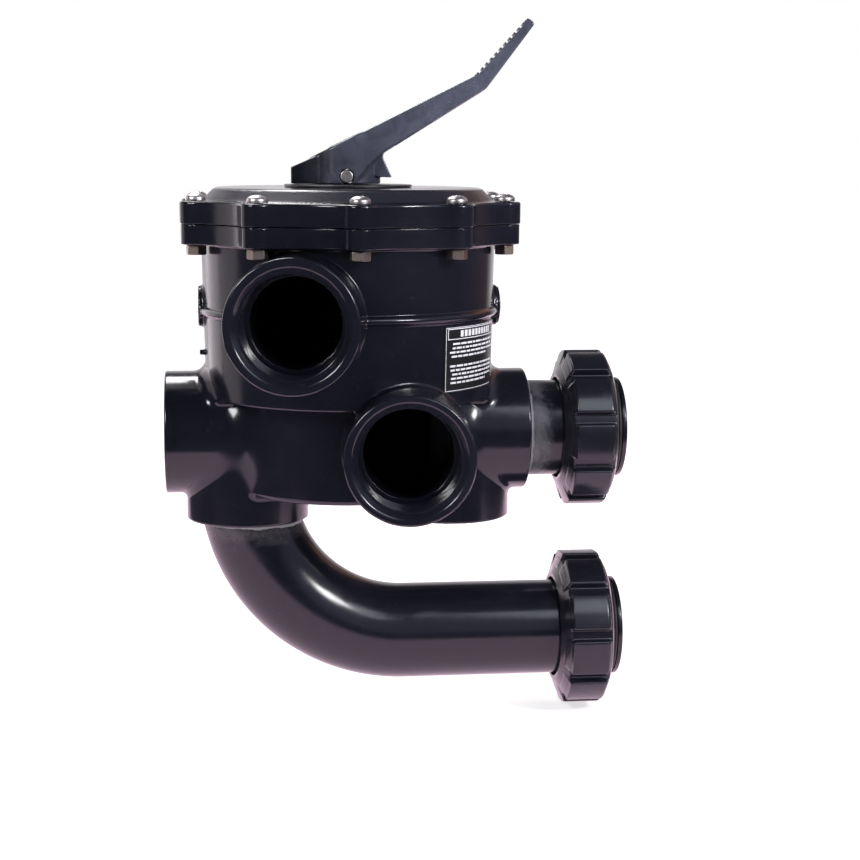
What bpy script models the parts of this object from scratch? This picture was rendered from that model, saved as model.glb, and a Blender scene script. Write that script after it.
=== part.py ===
"""Side-mount multiport valve for a two-inch filter connection.

Frame: the origin is midway between the end faces of the two pipe unions,
+X points out of the unions towards the filter, -Y is the side with the two
threaded ports, +Z is up.  Everything below is written in millimetres and
turned into metres when a mesh is made.
"""
import bpy
import bmesh
from math import sin, cos, tan, pi, radians, degrees, atan2, asin, acos, sqrt, hypot
from mathutils import Vector, Matrix

MM = 0.001
GAP = 0.35                  # clearance between neighbouring pieces

# ------------------------------------------------------------ driving sizes
AXIS_X = -172.5             # vertical valve axis
PORT_Z = 65.5               # axis of the lower ports and of the upper union
UNION_Z = -65.5             # axis of the lower union

# body
UPPER_DRUM_R_TOP = 90.8
UPPER_DRUM_R_BOT = 88.8
UPPER_DRUM_Z0 = 89.2
LOWER_DRUM_R_TOP = 73.4
LOWER_DRUM_R_BOT = 72.4
LOWER_DRUM_Z0 = 30.4
RIDGE_Z = 142.0
RIDGE_R = 92.9
RIDGE_HALF = 2.6
HUB_R = 38.1                # plain side and downward hubs
HUB_LEFT = 114.2            # valve axis to the left hub face
HUB_RIGHT = 110.9
DOWN_X = 63.7               # downward hubs, left and right of the valve axis
DOWN_Z = 11.1
SOCKET_R = 30.5             # socket for a 60.3 mm pipe
SOCKET_DEEP = 28.0
BORE_R = 26.0
TOP_PORT_R = 38.8           # threaded port of the upper drum
TOP_PORT_X = -40.4
TOP_PORT_Y = -122.5
TOP_PORT_Z = 142.0
TOP_PORT_TURN = radians(8.0)
LOW_PORT_R = 38.0           # threaded port of the lower drum
LOW_PORT_X = 26.6
LOW_PORT_Y = -121.5
LOW_PORT_TURN = radians(4.0)
THREAD_R = 29.6
THREAD_DEEP = 27.0
CHAMBER_R = 83.4
CHAMBER_Z0 = 96.0
POCKET_Z0 = 36.5
POCKET_R = 66.0
POCKET_IN = 15.0
RIB_W = 5.0
BOSS_R = 12.7
BOSS_Z = 144.0
BOSS_OUT = 93.0

# flanges
BOLTS = 10
BOLT_CIRCLE = 98.0
LUG_R = 9.2
VALLEY_R = 92.0
FLANGE_Z0 = 183.5
FLANGE_SPLIT = 195.8
FLANGE_Z1 = 209.2
BOLT_HOLE_R = 3.35
ORING_GROOVE = (86.0, 89.8, 3.2)

# cover
COVER_OVERHANG = 0.5
DOME_R_BOT = 89.4
DOME_R_TOP = 82.1
DOME_Z = 217.1
STEM_HOLE_R = 10.4
PLATE_R = 39.4
PLATE_T = 1.5
PLATE_HOLE_R = 12.5

# screws and nuts
SCREW_R = 3.0
HEAD_R = 6.2
HEAD_H = 4.6
NUT_AF = 11.1
NUT_H = 5.8

# rotor
KEY_R = 76.0
KEY_Z0 = 99.0
KEY_Z1 = 105.0
HOOD_Z = 117.0
STEM_R = 9.7
STEM_FLAT = 8.0
STEM_TOP = 231.0
PIN_Z = 223.9
PIN_R = 4.0
HANDLE_YAW = radians(-6.6)  # rest direction of the handle about the valve axis
SPRING_R = 15.5
SPRING_WIRE = 1.6
SPRING_Z0 = 118.4
SPRING_Z1 = 200.0
SPRING_TURNS = 5

# unions
PIPE_R = 30.15
PIPE_BORE_R = 26.2
DISC_R = 31.6
FLANGE_TAIL_R = 38.4
NUT_R = 49.5
NUT_PADS = 10
NUT_GROOVE_DEEP = 5.2
ELBOW_R = 98.0              # centreline radius of the sweep

# facets per turn
BIG = 36
HUB = 24
BORE = 20


# ------------------------------------------------------------ mesh helpers
def around(radius, facets):
    """Corner radius of a faceted hole whose flats stay at `radius`."""
    return radius / cos(pi / facets)


def clear_scene():
    for ob in list(bpy.data.objects):
        bpy.data.objects.remove(ob, do_unlink=True)


def material(name, colour, rough, metal=0.0):
    mat = bpy.data.materials.new(name)
    mat.use_nodes = True
    bsdf = mat.node_tree.nodes["Principled BSDF"]
    bsdf.inputs["Base Color"].default_value = (*colour, 1.0)
    bsdf.inputs["Roughness"].default_value = rough
    bsdf.inputs["Metallic"].default_value = metal
    mat.diffuse_color = (*colour, 1.0)
    return mat


def add_object(name, bm, origin=(0.0, 0.0, 0.0)):
    """Turns a bmesh in millimetres into an object whose origin is `origin`."""
    bmesh.ops.remove_doubles(bm, verts=bm.verts, dist=1e-4)
    bmesh.ops.recalc_face_normals(bm, faces=bm.faces)
    if bm.calc_volume(signed=True) < 0:
        bmesh.ops.reverse_faces(bm, faces=bm.faces)
    bmesh.ops.transform(bm, verts=bm.verts,
                        matrix=Matrix.Scale(MM, 4) @ Matrix.Translation(-Vector(origin)))
    me = bpy.data.meshes.new(name)
    bm.to_mesh(me)
    bm.free()
    ob = bpy.data.objects.new(name, me)
    ob.location = Vector(origin) * MM
    bpy.context.scene.collection.objects.link(ob)
    return ob


def frame_of(axis):
    a = Vector(axis).normalized()
    ref = Vector((0, 0, 1)) if abs(a.z) < 0.9 else Vector((1, 0, 0))
    u = ref.cross(a).normalized()
    return a, u, a.cross(u)


def lathe_bm(profile, base, axis, segs, phase=0.0, bm=None):
    """Closed profile of (radius, height) turned about an axis through base."""
    a, u, v = frame_of(axis)
    base = Vector(base)
    bm = bm or bmesh.new()
    rings = []
    for r, h in profile:
        if r < 1e-6:
            rings.append([bm.verts.new(base + a * h)])
        else:
            rings.append([bm.verts.new(base + a * h + (u * cos(t) + v * sin(t)) * r)
                          for t in (phase + 2 * pi * k / segs for k in range(segs))])
    n = len(rings)
    for i in range(n):
        p, q = rings[i], rings[(i + 1) % n]
        if len(p) == 1 and len(q) == 1:
            continue
        for k in range(segs):
            m = (k + 1) % segs
            if len(p) == 1:
                bm.faces.new((p[0], q[k], q[m]))
            elif len(q) == 1:
                bm.faces.new((p[k], q[0], p[m]))
            else:
                bm.faces.new((p[k], q[k], q[m], p[m]))
    return bm


def cylinder_bm(radius, base, axis, length, segs, radius2=None, bm=None, phase=0.0):
    r2 = radius if radius2 is None else radius2
    return lathe_bm([(0, 0), (radius, 0), (r2, length), (0, length)], base, axis, segs, phase=phase, bm=bm)


def prism_bm(points, z0, z1, bm=None):
    bm = bm or bmesh.new()
    lo = [bm.verts.new((x, y, z0)) for x, y in points]
    hi = [bm.verts.new((x, y, z1)) for x, y in points]
    bm.faces.new(lo)
    bm.faces.new(hi)
    n = len(points)
    for i in range(n):
        j = (i + 1) % n
        bm.faces.new((lo[i], lo[j], hi[j], hi[i]))
    return bm


def side_prism_bm(points, width_at, bm=None):
    """A side outline of (x, z) given a half width in Y that may vary with x."""
    bm = bm or bmesh.new()
    near = [bm.verts.new((x, -width_at(x), z)) for x, z in points]
    far = [bm.verts.new((x, width_at(x), z)) for x, z in points]
    bm.faces.new(near)
    bm.faces.new(far)
    n = len(points)
    for i in range(n):
        j = (i + 1) % n
        bm.faces.new((near[i], near[j], far[j], far[i]))
    return bm


def torus_bm(major, minor, base, axis, segs, tube):
    return lathe_bm([(major + minor * cos(2 * pi * k / tube), minor * sin(2 * pi * k / tube))
                     for k in range(tube)], base, axis, segs)


def box_bm(lo, hi):
    return prism_bm([(lo[0], lo[1]), (hi[0], lo[1]), (hi[0], hi[1]), (lo[0], hi[1])], lo[2], hi[2])


def solid(bm):
    return add_object("tool", bm)


def combine(ob, tools, operation):
    for tool in tools:
        mod = ob.modifiers.new("cut", "BOOLEAN")
        mod.object = tool
        mod.operation = operation
        mod.solver = "EXACT"
        deps = bpy.context.evaluated_depsgraph_get()
        me = bpy.data.meshes.new_from_object(ob.evaluated_get(deps))
        ob.modifiers.clear()
        ob.data = me
        bpy.data.objects.remove(tool, do_unlink=True)


def union(ob, *tools):
    combine(ob, tools, "UNION")


def cut(ob, *tools):
    combine(ob, tools, "DIFFERENCE")


def finish(ob, mat, sharp=35.0):
    ob.data.name = ob.name
    ob.data.materials.clear()
    ob.data.materials.append(mat)
    bm = bmesh.new()
    bm.from_mesh(ob.data)
    bmesh.ops.remove_doubles(bm, verts=bm.verts, dist=2e-6)
    bmesh.ops.recalc_face_normals(bm, faces=bm.faces)
    bm.to_mesh(ob.data)
    bm.free()
    ob.data.shade_smooth()
    ob.data.set_sharp_from_angle(angle=radians(sharp))


def set_origin(ob, origin):
    """Moves an object's origin to a point in millimetres, keeping its mesh in place."""
    shift = Vector(origin) * MM - ob.location
    ob.data.transform(Matrix.Translation(-shift))
    ob.location = Vector(origin) * MM


# ------------------------------------------------------------ outlines
def sector(r_in, r_out, a0, a1, steps):
    outer = [(r_out * cos(a0 + (a1 - a0) * k / steps), r_out * sin(a0 + (a1 - a0) * k / steps))
             for k in range(steps + 1)]
    few = max(2, steps // 3)
    inner = [(r_in * cos(a1 + (a0 - a1) * k / few), r_in * sin(a1 + (a0 - a1) * k / few))
             for k in range(few + 1)]
    return [(AXIS_X + x, y) for x, y in outer + inner]


def rib_sector(centre, half, r_in, r_out, rib, steps):
    """A sector whose straight sides leave a rib of constant width."""
    def side(r, sgn):
        off = asin(rib / 2 / r)
        return centre + sgn * (half - off)
    a0, a1 = side(r_out, -1), side(r_out, 1)
    b0, b1 = side(r_in, -1), side(r_in, 1)
    outer = [(r_out * cos(a0 + (a1 - a0) * k / steps), r_out * sin(a0 + (a1 - a0) * k / steps))
             for k in range(steps + 1)]
    inner = [(r_in * cos(b), r_in * sin(b)) for b in (b1, b0)]
    return [(AXIS_X + x, y) for x, y in outer + inner]


def lug_outline(grow=0.0):
    """Ten bolt lugs joined by straight flanks that meet in shallow vees."""
    lug, valley = LUG_R + grow, VALLEY_R + grow
    half = pi / BOLTS
    vx, vy = valley * cos(half), valley * sin(half)
    dx, dy = BOLT_CIRCLE - vx, -vy
    dist = hypot(dx, dy)
    heading = atan2(dy, dx) + asin(lug / dist)
    reach = sqrt(dist * dist - lug * lug)
    tx, ty = vx + reach * cos(heading), vy + reach * sin(heading)
    lug_half = atan2(ty, tx - BOLT_CIRCLE)
    fillet = 5.0
    back = fillet / tan(abs(half - heading))
    fx, fy = vx + back * cos(heading), vy + back * sin(heading)
    pts = []
    for b in range(BOLTS):
        turn = -pi / 2 + b * 2 * pi / BOLTS
        local = [(BOLT_CIRCLE + lug * cos(t), lug * sin(t))
                 for t in (-lug_half + 2 * lug_half * k / 5 for k in range(6))]
        local.append((fx, fy))
        mid = hypot(fx, fy) * cos(half - atan2(fy, fx)) - fillet * (1 - sin(abs(half - heading))) * 0.6
        local.append((mid * cos(half), mid * sin(half)))
        mirror = 2 * half - atan2(fy, fx)
        local.append((hypot(fx, fy) * cos(mirror), hypot(fx, fy) * sin(mirror)))
        for x, y in local:
            pts.append((AXIS_X + x * cos(turn) - y * sin(turn), x * sin(turn) + y * cos(turn)))
    return pts


def bolt_spot(i):
    t = -pi / 2 + i * 2 * pi / BOLTS
    return AXIS_X + BOLT_CIRCLE * cos(t), BOLT_CIRCLE * sin(t)


# ------------------------------------------------------------ pieces
def make_body(mat):
    ax = (AXIS_X, 0, 0)
    up = (0, 0, 1)
    body = add_object("valve_body", lathe_bm([
        (0, UPPER_DRUM_Z0), (UPPER_DRUM_R_BOT - 1.2, UPPER_DRUM_Z0), (UPPER_DRUM_R_BOT, UPPER_DRUM_Z0 + 1.2),
        (89.9, RIDGE_Z - RIDGE_HALF), (RIDGE_R, RIDGE_Z - 1.2), (RIDGE_R, RIDGE_Z + 1.2),
        (89.9, RIDGE_Z + RIDGE_HALF), (UPPER_DRUM_R_TOP, FLANGE_Z0 + 3), (0, FLANGE_Z0 + 3)], ax, up, BIG, phase=0.043))
    union(body, solid(prism_bm(lug_outline(), FLANGE_Z0, FLANGE_SPLIT - 0.15)))
    union(body, solid(lathe_bm([(0, LOWER_DRUM_Z0), (LOWER_DRUM_R_BOT, LOWER_DRUM_Z0),
                                (LOWER_DRUM_R_TOP, 93.0), (0, 93.0)], ax, up, BIG, phase=0.021)))
    # side hubs on one line, and the two downward hubs
    union(body, solid(lathe_bm([(0, -HUB_LEFT), (HUB_R - 0.8, -HUB_LEFT), (HUB_R, -HUB_LEFT + 0.8),
                                (HUB_R, HUB_RIGHT - 2.2), (HUB_R - 2.2, HUB_RIGHT), (0, HUB_RIGHT)],
                               (AXIS_X, 0, PORT_Z), (1, 0, 0), HUB, phase=0.013)))
    for sx in (-1, 1):
        union(body, solid(lathe_bm([(0, DOWN_Z), (HUB_R - 1.2, DOWN_Z), (HUB_R, DOWN_Z + 1.2),
                                    (HUB_R - 0.05, PORT_Z + 3.1), (0, PORT_Z + 3.1)],
                                   (AXIS_X + sx * DOWN_X, 0, 0), up, HUB, phase=0.037)))
    # threaded ports
    a = TOP_PORT_TURN
    top_axis = Vector((-sin(a), -cos(a), 0))
    top_face = Vector((AXIS_X + TOP_PORT_X, TOP_PORT_Y, TOP_PORT_Z))
    union(body, solid(lathe_bm([(0, -80), (TOP_PORT_R + 0.6, -80), (TOP_PORT_R, -1.2),
                                (TOP_PORT_R - 1.2, 0), (0, 0)], top_face, top_axis, HUB, phase=0.029)))
    low_axis = Vector((-sin(LOW_PORT_TURN), -cos(LOW_PORT_TURN), 0))
    low_face = Vector((AXIS_X + LOW_PORT_X, LOW_PORT_Y, PORT_Z))
    union(body, solid(lathe_bm([(0, -75), (LOW_PORT_R + 0.5, -75), (LOW_PORT_R, -1.2),
                                (LOW_PORT_R - 1.2, 0), (0, 0)], low_face, low_axis, HUB, phase=0.017)))
    # round side bosses and a small gate stub
    for sx in (-1, 1):
        union(body, solid(cylinder_bm(BOSS_R, (AXIS_X + sx * 85.0, 0, BOSS_Z), (sx, 0, 0), BOSS_OUT - 85.0, 16)))
    union(body, solid(cylinder_bm(1.7, (AXIS_X - 87.0, -6.0, 116.0), (-1, 0, 0), 5.4, 10)))

    # upper chamber, then six pockets between ribs under it
    cut(body, solid(cylinder_bm(around(CHAMBER_R, BIG), (AXIS_X, 0, CHAMBER_Z0), up, 110.0, BIG)))
    for k in range(6):
        cut(body, solid(prism_bm(rib_sector(k * pi / 3, pi / 6, POCKET_IN, POCKET_R, RIB_W, 5),
                                 POCKET_Z0, CHAMBER_Z0 + 4.0)))
    # groove for the cover's O-ring, and the bolt holes
    g0, g1, gd = ORING_GROOVE
    top = FLANGE_SPLIT - 0.15
    cut(body, solid(lathe_bm([(g0, top - gd), (g1, top - gd), (g1, top + 2), (g0, top + 2)], ax, up, BIG)))
    for i in range(BOLTS):
        x, y = bolt_spot(i)
        cut(body, solid(cylinder_bm(around(BOLT_HOLE_R, 8), (x, y, FLANGE_Z0 - 2), up, 20, 8)))
    # horizontal bores with pipe sockets
    cut(body, solid(lathe_bm([(0, -HUB_LEFT - 2), (around(SOCKET_R, BORE), -HUB_LEFT - 2), (around(SOCKET_R, BORE), -HUB_LEFT + SOCKET_DEEP),
                              (BORE_R, -HUB_LEFT + SOCKET_DEEP), (BORE_R, -46.0), (0, -46.0)],
                             (AXIS_X, 0, PORT_Z), (1, 0, 0), BORE, phase=0.031)))
    cut(body, solid(lathe_bm([(0, 46.0), (BORE_R, 46.0), (BORE_R, HUB_RIGHT - SOCKET_DEEP),
                              (around(SOCKET_R, BORE), HUB_RIGHT - SOCKET_DEEP), (around(SOCKET_R, BORE), HUB_RIGHT + 2), (0, HUB_RIGHT + 2)],
                             (AXIS_X, 0, PORT_Z), (1, 0, 0), BORE, phase=0.031)))
    # left downward hub takes the elbow; the right one is blank
    cut(body, solid(lathe_bm([(0, DOWN_Z - 2), (around(SOCKET_R, BORE), DOWN_Z - 2), (around(SOCKET_R, BORE), DOWN_Z + SOCKET_DEEP),
                              (BORE_R - 0.4, DOWN_Z + SOCKET_DEEP), (BORE_R - 0.4, PORT_Z + 1.7), (0, PORT_Z + 1.7)],
                             (AXIS_X - DOWN_X, 0, 0), up, BORE, phase=0.011)))
    cut(body, solid(lathe_bm([(0, DOWN_Z - 2), (around(SOCKET_R, BORE), DOWN_Z - 2), (around(SOCKET_R - 1.0, BORE), DOWN_Z + 17),
                              (0, DOWN_Z + 17)], (AXIS_X + DOWN_X, 0, 0), up, BORE, phase=0.011)))
    # threaded bores: flat rim, chamfer, thread zone, then a plain bore
    for face, axis, inner in ((top_face, top_axis, -62.0), (low_face, low_axis, -74.0)):
        cut(body, solid(lathe_bm([(0, 2), (THREAD_R + 4.4, 2), (THREAD_R + 4.4, -0.6), (THREAD_R + 1.0, -3.6),
                                  (THREAD_R - 0.4, -THREAD_DEEP), (27.0, -THREAD_DEEP - 2), (26.6, inner), (0, inner)],
                                 face, axis, BORE, phase=0.041)))
    # tapped holes of the bosses
    cut(body, solid(cylinder_bm(6.8, (AXIS_X - BOSS_OUT - 2, 0, BOSS_Z), (1, 0, 0), 20, 12, phase=0.09)))
    cut(body, solid(cylinder_bm(8.9, (AXIS_X + BOSS_OUT + 2, 0, BOSS_Z), (-1, 0, 0), 20, 12, phase=0.07)))
    finish(body, mat)
    return body


def make_cover(mat):
    ax = (AXIS_X, 0, 0)
    z0 = FLANGE_SPLIT + 0.15
    cover = add_object("cover", prism_bm(lug_outline(COVER_OVERHANG), z0, FLANGE_Z1))
    cut(cover, solid(cylinder_bm(81.4, (AXIS_X, 0, z0 - 2), (0, 0, 1), 30, BIG)))
    shell = lathe_bm([
        (STEM_HOLE_R, 202.6), (22.0, 202.6), (22.0, 209.5), (26.0, 211.4), (76.0, 211.4), (80.0, 207.5),
        (80.0, 190.5), (82.2, 190.5), (83.0, 191.4), (83.0, 199.0), (87.8, 199.0), (87.8, 208.0),
        (DOME_R_BOT, FLANGE_Z1 - 0.6), (DOME_R_BOT, FLANGE_Z1 + 0.5), (DOME_R_TOP + 0.8, DOME_Z - 0.9),
        (DOME_R_TOP - 0.4, DOME_Z), (STEM_HOLE_R, DOME_Z)], ax, (0, 0, 1), BIG, phase=0.017)
    union(cover, solid(shell))
    for i in range(BOLTS):
        x, y = bolt_spot(i)
        cut(cover, solid(cylinder_bm(around(BOLT_HOLE_R, 8), (x, y, z0 - 2), (0, 0, 1), 20, 8)))
    finish(cover, mat)
    return cover


def screw_mesh():
    """Pan head on a plain shank, its origin under the head."""
    prof = [(0, -32.0), (SCREW_R, -32.0), (SCREW_R, 0), (HEAD_R, 0), (HEAD_R, 2.0),
            (HEAD_R * 0.8, HEAD_H - 0.8), (HEAD_R * 0.4, HEAD_H), (0, HEAD_H)]
    return add_object("screw_pattern", lathe_bm(prof, (0, 0, 0), (0, 0, 1), 10))


def nut_mesh():
    bm = bmesh.new()
    r = NUT_AF / sqrt(3)
    pts = [(r * cos(k * pi / 3), r * sin(k * pi / 3)) for k in range(6)]
    prism_bm(pts, -NUT_H, 0, bm)
    ob = add_object("nut_pattern", bm)
    cut(ob, solid(cylinder_bm(around(SCREW_R + GAP, 8), (0, 0, -NUT_H - 2), (0, 0, 1), NUT_H + 4, 8)))
    return ob


def copy_piece(pattern, name, spot, turn, mat):
    me = pattern.data.copy()
    ob = bpy.data.objects.new(name, me)
    bpy.context.scene.collection.objects.link(ob)
    ob.location = Vector(spot) * MM
    ob.rotation_euler = (0, 0, turn)
    finish(ob, mat)
    return ob


def turn_with_handle(ob):
    """Turns a piece about the valve axis to the handle's rest direction."""
    c = Matrix.Translation(Vector((AXIS_X, 0, 0)) * MM)
    ob.data.transform(c @ Matrix.Rotation(HANDLE_YAW, 4, "Z") @ c.inverted())


def make_handle(mat):
    """Lever that grows out of a cam barrel, with a heel behind and a ribbed grip."""
    px, pz = AXIS_X, PIN_Z
    foot = -(PIN_Z - (DOME_Z + 0.15 + PLATE_T + 0.45))      # underside of the barrel below the pin

    def at(points):
        return [(px + x, pz + z) for x, z in points]

    heel = at([(-34.4, foot + 1.0), (-33.6, foot), (-4.0, foot), (-4.0, 15.4), (-11.0, 15.4), (-34.4, 5.5)])
    handle = add_object("handle", side_prism_bm(heel, lambda x: 13.6))
    # barrel round the pin, cut along the lever's slope
    bm = cylinder_bm(22.3, (0, 0, pz + foot), (0, 0, 1), 29.0, 32)
    bmesh.ops.scale(bm, vec=(1.0, 0.82, 1.0), verts=bm.verts)
    bmesh.ops.translate(bm, vec=(px - 2.4, 0, 0), verts=bm.verts)
    barrel = solid(bm)
    cut(barrel, solid(side_prism_bm(at([(-40, 3.46), (40, 40.42), (40, 60), (-40, 60)]), lambda x: 40)))
    union(handle, barrel)
    # small fin under the lever
    union(handle, solid(side_prism_bm(at([(12.0, 2.0), (19.8, -0.4), (26.8, -0.6), (19.4, 15.5), (12.0, 13.0)]), lambda x: 10.0)))

    # lever arm, narrowing towards the grip
    def arm_width(x):
        return 17.7 - 5.9 * min(1.0, max(0.0, (x - px - 12.0) / 98.0))
    arm = at([(-9.6, 5.2), (-8.4, 3.2), (-2.0, -2.4), (5.2, -1.4), (20.6, 13.4), (84.5, 53.2), (89.6, 59.9), (113.4, 91.3),
              (112.9, 92.9), (110.0, 95.3), (108.4, 94.9), (80.0, 64.0), (77.0, 60.6), (6.0, 24.9), (-8.4, 17.2), (-9.6, 15.6)])
    teeth = []
    x0, z0, x1, z1 = 80.0, 64.0, 108.8, 95.3
    length = hypot(x1 - x0, z1 - z0)
    tx, tz = (x1 - x0) / length, (z1 - z0) / length
    for k in range(10):
        mid = 0.2 + 4.05 * k
        quad = []
        for along, deep in ((mid - 1.5, -3.0), (mid - 0.9, 1.25), (mid + 0.9, 1.25), (mid + 1.5, -3.0)):
            quad.append((x0 + tx * along + tz * deep, z0 + tz * along - tx * deep))
        teeth.append(quad)
    lever = solid(side_prism_bm(arm, arm_width))
    for t in teeth:
        cut(lever, solid(side_prism_bm(at(t), lambda x: 30.0)))
    union(handle, lever)
    # channel along the underside of the arm
    cut(handle, solid(side_prism_bm(at([(28.0, 5.0), (88.5, 39.7), (80.0, 54.4), (30.0, 29.8)]),
                                    lambda x: arm_width(x) - 3.4)))
    # slot for the stem, open downward, and the pin hole
    slot = [(px - 13.4, pz + foot - 2), (px + 13.4, pz + foot - 2)]
    slot += [(px + 13.4 * cos(t), pz + 13.4 * sin(t) * 0.98) for t in (radians(a) for a in (0, 30, 60, 90, 120, 150, 180))]
    cut(handle, solid(side_prism_bm(slot, lambda x: STEM_FLAT + 0.6)))
    cut(handle, solid(cylinder_bm(PIN_R + GAP, (px, -40, pz), (0, 1, 0), 80, 20)))
    finish(handle, mat)
    turn_with_handle(handle)
    set_origin(handle, (AXIS_X, 0, PIN_Z))
    return handle


def make_rotor(mat):
    key = add_object("rotor_key", lathe_bm([
        (0, KEY_Z0), (KEY_R, KEY_Z0), (KEY_R, KEY_Z1 - 1), (KEY_R - 1, KEY_Z1), (21.0, KEY_Z1), (21.0, HOOD_Z),
        (STEM_R, HOOD_Z + 1.0), (STEM_R, 204.4), (7.7, 204.4), (7.7, 207.4), (STEM_R, 207.4), (STEM_R, 210.6),
        (7.7, 210.6), (7.7, 213.6), (STEM_R, 213.6), (STEM_R, STEM_TOP - 1.5), (STEM_R - 1.5, STEM_TOP), (0, STEM_TOP)],
        (AXIS_X, 0, 0), (0, 0, 1), 28))
    # hood that joins two neighbouring pockets, and the open window
    union(key, solid(prism_bm(sector(17.0, 70.0, radians(200), radians(322), 14), KEY_Z1 - 1.0, HOOD_Z - 2.0)))
    cut(key, solid(prism_bm(sector(24.0, 65.0, radians(206), radians(316), 12), KEY_Z0 - 2.0, HOOD_Z - 6.0)))
    cut(key, solid(prism_bm(sector(24.0, 65.0, radians(35), radians(85), 7), KEY_Z0 - 2.0, KEY_Z1 + 2.0)))
    # flats at the top of the stem and the pin hole
    for s in (-1, 1):
        lo, hi = sorted((s * STEM_FLAT, s * 14.0))
        cut(key, solid(box_bm((AXIS_X - 14, lo, 213.9), (AXIS_X + 14, hi, STEM_TOP + 2))))
    cut(key, solid(cylinder_bm(PIN_R + GAP, (AXIS_X, -20, PIN_Z), (0, 1, 0), 40, 16)))
    finish(key, mat)
    turn_with_handle(key)
    set_origin(key, (AXIS_X, 0, 0))
    return key


def make_spider(mat):
    z0, z1 = CHAMBER_Z0 + GAP, KEY_Z0 - GAP
    ob = add_object("spider_gasket", lathe_bm([(67.2, z0), (71.5, z0), (71.5, z1), (67.2, z1)], (AXIS_X, 0, 0), (0, 0, 1), 28))
    union(ob, solid(cylinder_bm(14.0, (AXIS_X, 0, z0 + 0.05), (0, 0, 1), z1 - z0 - 0.1, 12)))
    for k in range(3):
        t = radians(30 + 60 * k)
        bm = box_bm((-69.0, -2.1, z0 + 0.1), (69.0, 2.1, z1 - 0.1))
        bmesh.ops.rotate(bm, cent=(0, 0, 0), matrix=Matrix.Rotation(t, 3, "Z"), verts=bm.verts)
        bmesh.ops.translate(bm, vec=(AXIS_X, 0, 0), verts=bm.verts)
        union(ob, solid(bm))
    finish(ob, mat)
    return ob


def make_spring(mat):
    """Round-wire compression spring with nearly closed end coils."""
    bm = bmesh.new()
    wire = 4
    per = 10
    steps = per * SPRING_TURNS
    z0, z1 = SPRING_Z0 + SPRING_WIRE, SPRING_Z1 - SPRING_WIRE
    end = 2 * SPRING_WIRE + 0.8
    rings = []
    for k in range(steps + 1):
        turn = k / per
        if turn < 1:
            z = z0 + end * turn
        elif turn > SPRING_TURNS - 1:
            z = z1 - end * (SPRING_TURNS - turn)
        else:
            z = z0 + end + (z1 - z0 - 2 * end) * (turn - 1) / (SPRING_TURNS - 2)
        t = 2 * pi * turn
        out = Vector((cos(t), sin(t), 0))
        rings.append([bm.verts.new(Vector((AXIS_X, 0, z)) + out * (SPRING_R + SPRING_WIRE * cos(w))
                                   + Vector((0, 0, SPRING_WIRE * sin(w))))
                      for w in (2 * pi * j / wire for j in range(wire))])
    for a, b in zip(rings, rings[1:]):
        for j in range(wire):
            m = (j + 1) % wire
            bm.faces.new((a[j], b[j], b[m], a[m]))
    bm.faces.new(rings[0])
    bm.faces.new(rings[-1])
    ob = add_object("key_spring", bm)
    finish(ob, mat)
    set_origin(ob, (AXIS_X, 0, 0))
    return ob


def union_end(x0):
    """Outer profile of a union tail, from the pipe at x0 to the sealing face at 0."""
    return [(PIPE_R, x0), (PIPE_R, -27.2), (31.4, -26.5), (FLANGE_TAIL_R, -26.5), (FLANGE_TAIL_R, -19.5),
            (DISC_R, -19.5), (DISC_R, -6.0), (29.5, -6.0), (29.5, -3.0), (DISC_R, -3.0), (DISC_R, -1.0),
            (DISC_R - 1.0, 0)]


def make_tail(mat):
    start = AXIS_X + HUB_RIGHT - SOCKET_DEEP + 1.2
    ob = add_object("upper_union_tail", lathe_bm(
        union_end(start) + [(PIPE_BORE_R, 0), (PIPE_BORE_R, start)], (0, 0, PORT_Z), (1, 0, 0), 28))
    finish(ob, mat)
    return ob


def make_elbow(mat):
    """One-piece tail: spigot in the left downward hub, quarter sweep, straight run, sealing end."""
    xc = AXIS_X - DOWN_X + ELBOW_R
    zc = UNION_Z + ELBOW_R
    seg = 24

    def sweep(radius, straight):
        """Quarter sweep, then a straight run whose rings are (radius, x)."""
        bm = bmesh.new()
        steps = 8
        rings = []
        for r, x in reversed(straight):
            rings.append([bm.verts.new((x, r * sin(w), UNION_Z - r * cos(w)))
                          for w in (2 * pi * j / seg for j in range(seg))])
        for k in range(steps + 1):
            f = radians(90.0) * k / steps
            c = Vector((xc - ELBOW_R * sin(f), 0, zc - ELBOW_R * cos(f)))
            n = Vector((-sin(f), 0, -cos(f)))
            rings.append([bm.verts.new(c + n * radius * cos(w) + Vector((0, radius * sin(w), 0)))
                          for w in (2 * pi * j / seg for j in range(seg))])
        for a, b in zip(rings, rings[1:]):
            for j in range(seg):
                m = (j + 1) % seg
                bm.faces.new((a[j], b[j], b[m], a[m]))
        bm.faces.new(rings[0])
        bm.faces.new(rings[-1])
        return bm

    rim = DOWN_Z - GAP
    ob = add_object("elbow_pipe", sweep(PIPE_R, union_end(-60.0)))
    cut(ob, solid(box_bm((AXIS_X - 150, -60, rim), (AXIS_X + 20, 60, 80))))
    union(ob, solid(lathe_bm([(0, rim - 5), (PIPE_R - 3.2, rim - 5), (PIPE_R - 3.2, rim), (PIPE_R, rim),
                              (PIPE_R, DOWN_Z + SOCKET_DEEP - 2.2), (PIPE_R - 1, DOWN_Z + SOCKET_DEEP - 1.2),
                              (0, DOWN_Z + SOCKET_DEEP - 1.2)], (AXIS_X - DOWN_X, 0, 0), (0, 0, 1), 24, phase=0.019)))
    bore = solid(sweep(25.6, [(25.6, -70.0), (PIPE_BORE_R, -66.0), (PIPE_BORE_R, 4.0)]))
    union(bore, solid(cylinder_bm(25.9, (AXIS_X - DOWN_X, 0, rim + 4.0), (0, 0, 1), 40.0, BORE)))
    cut(ob, bore)
    finish(ob, mat)
    return ob


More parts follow.
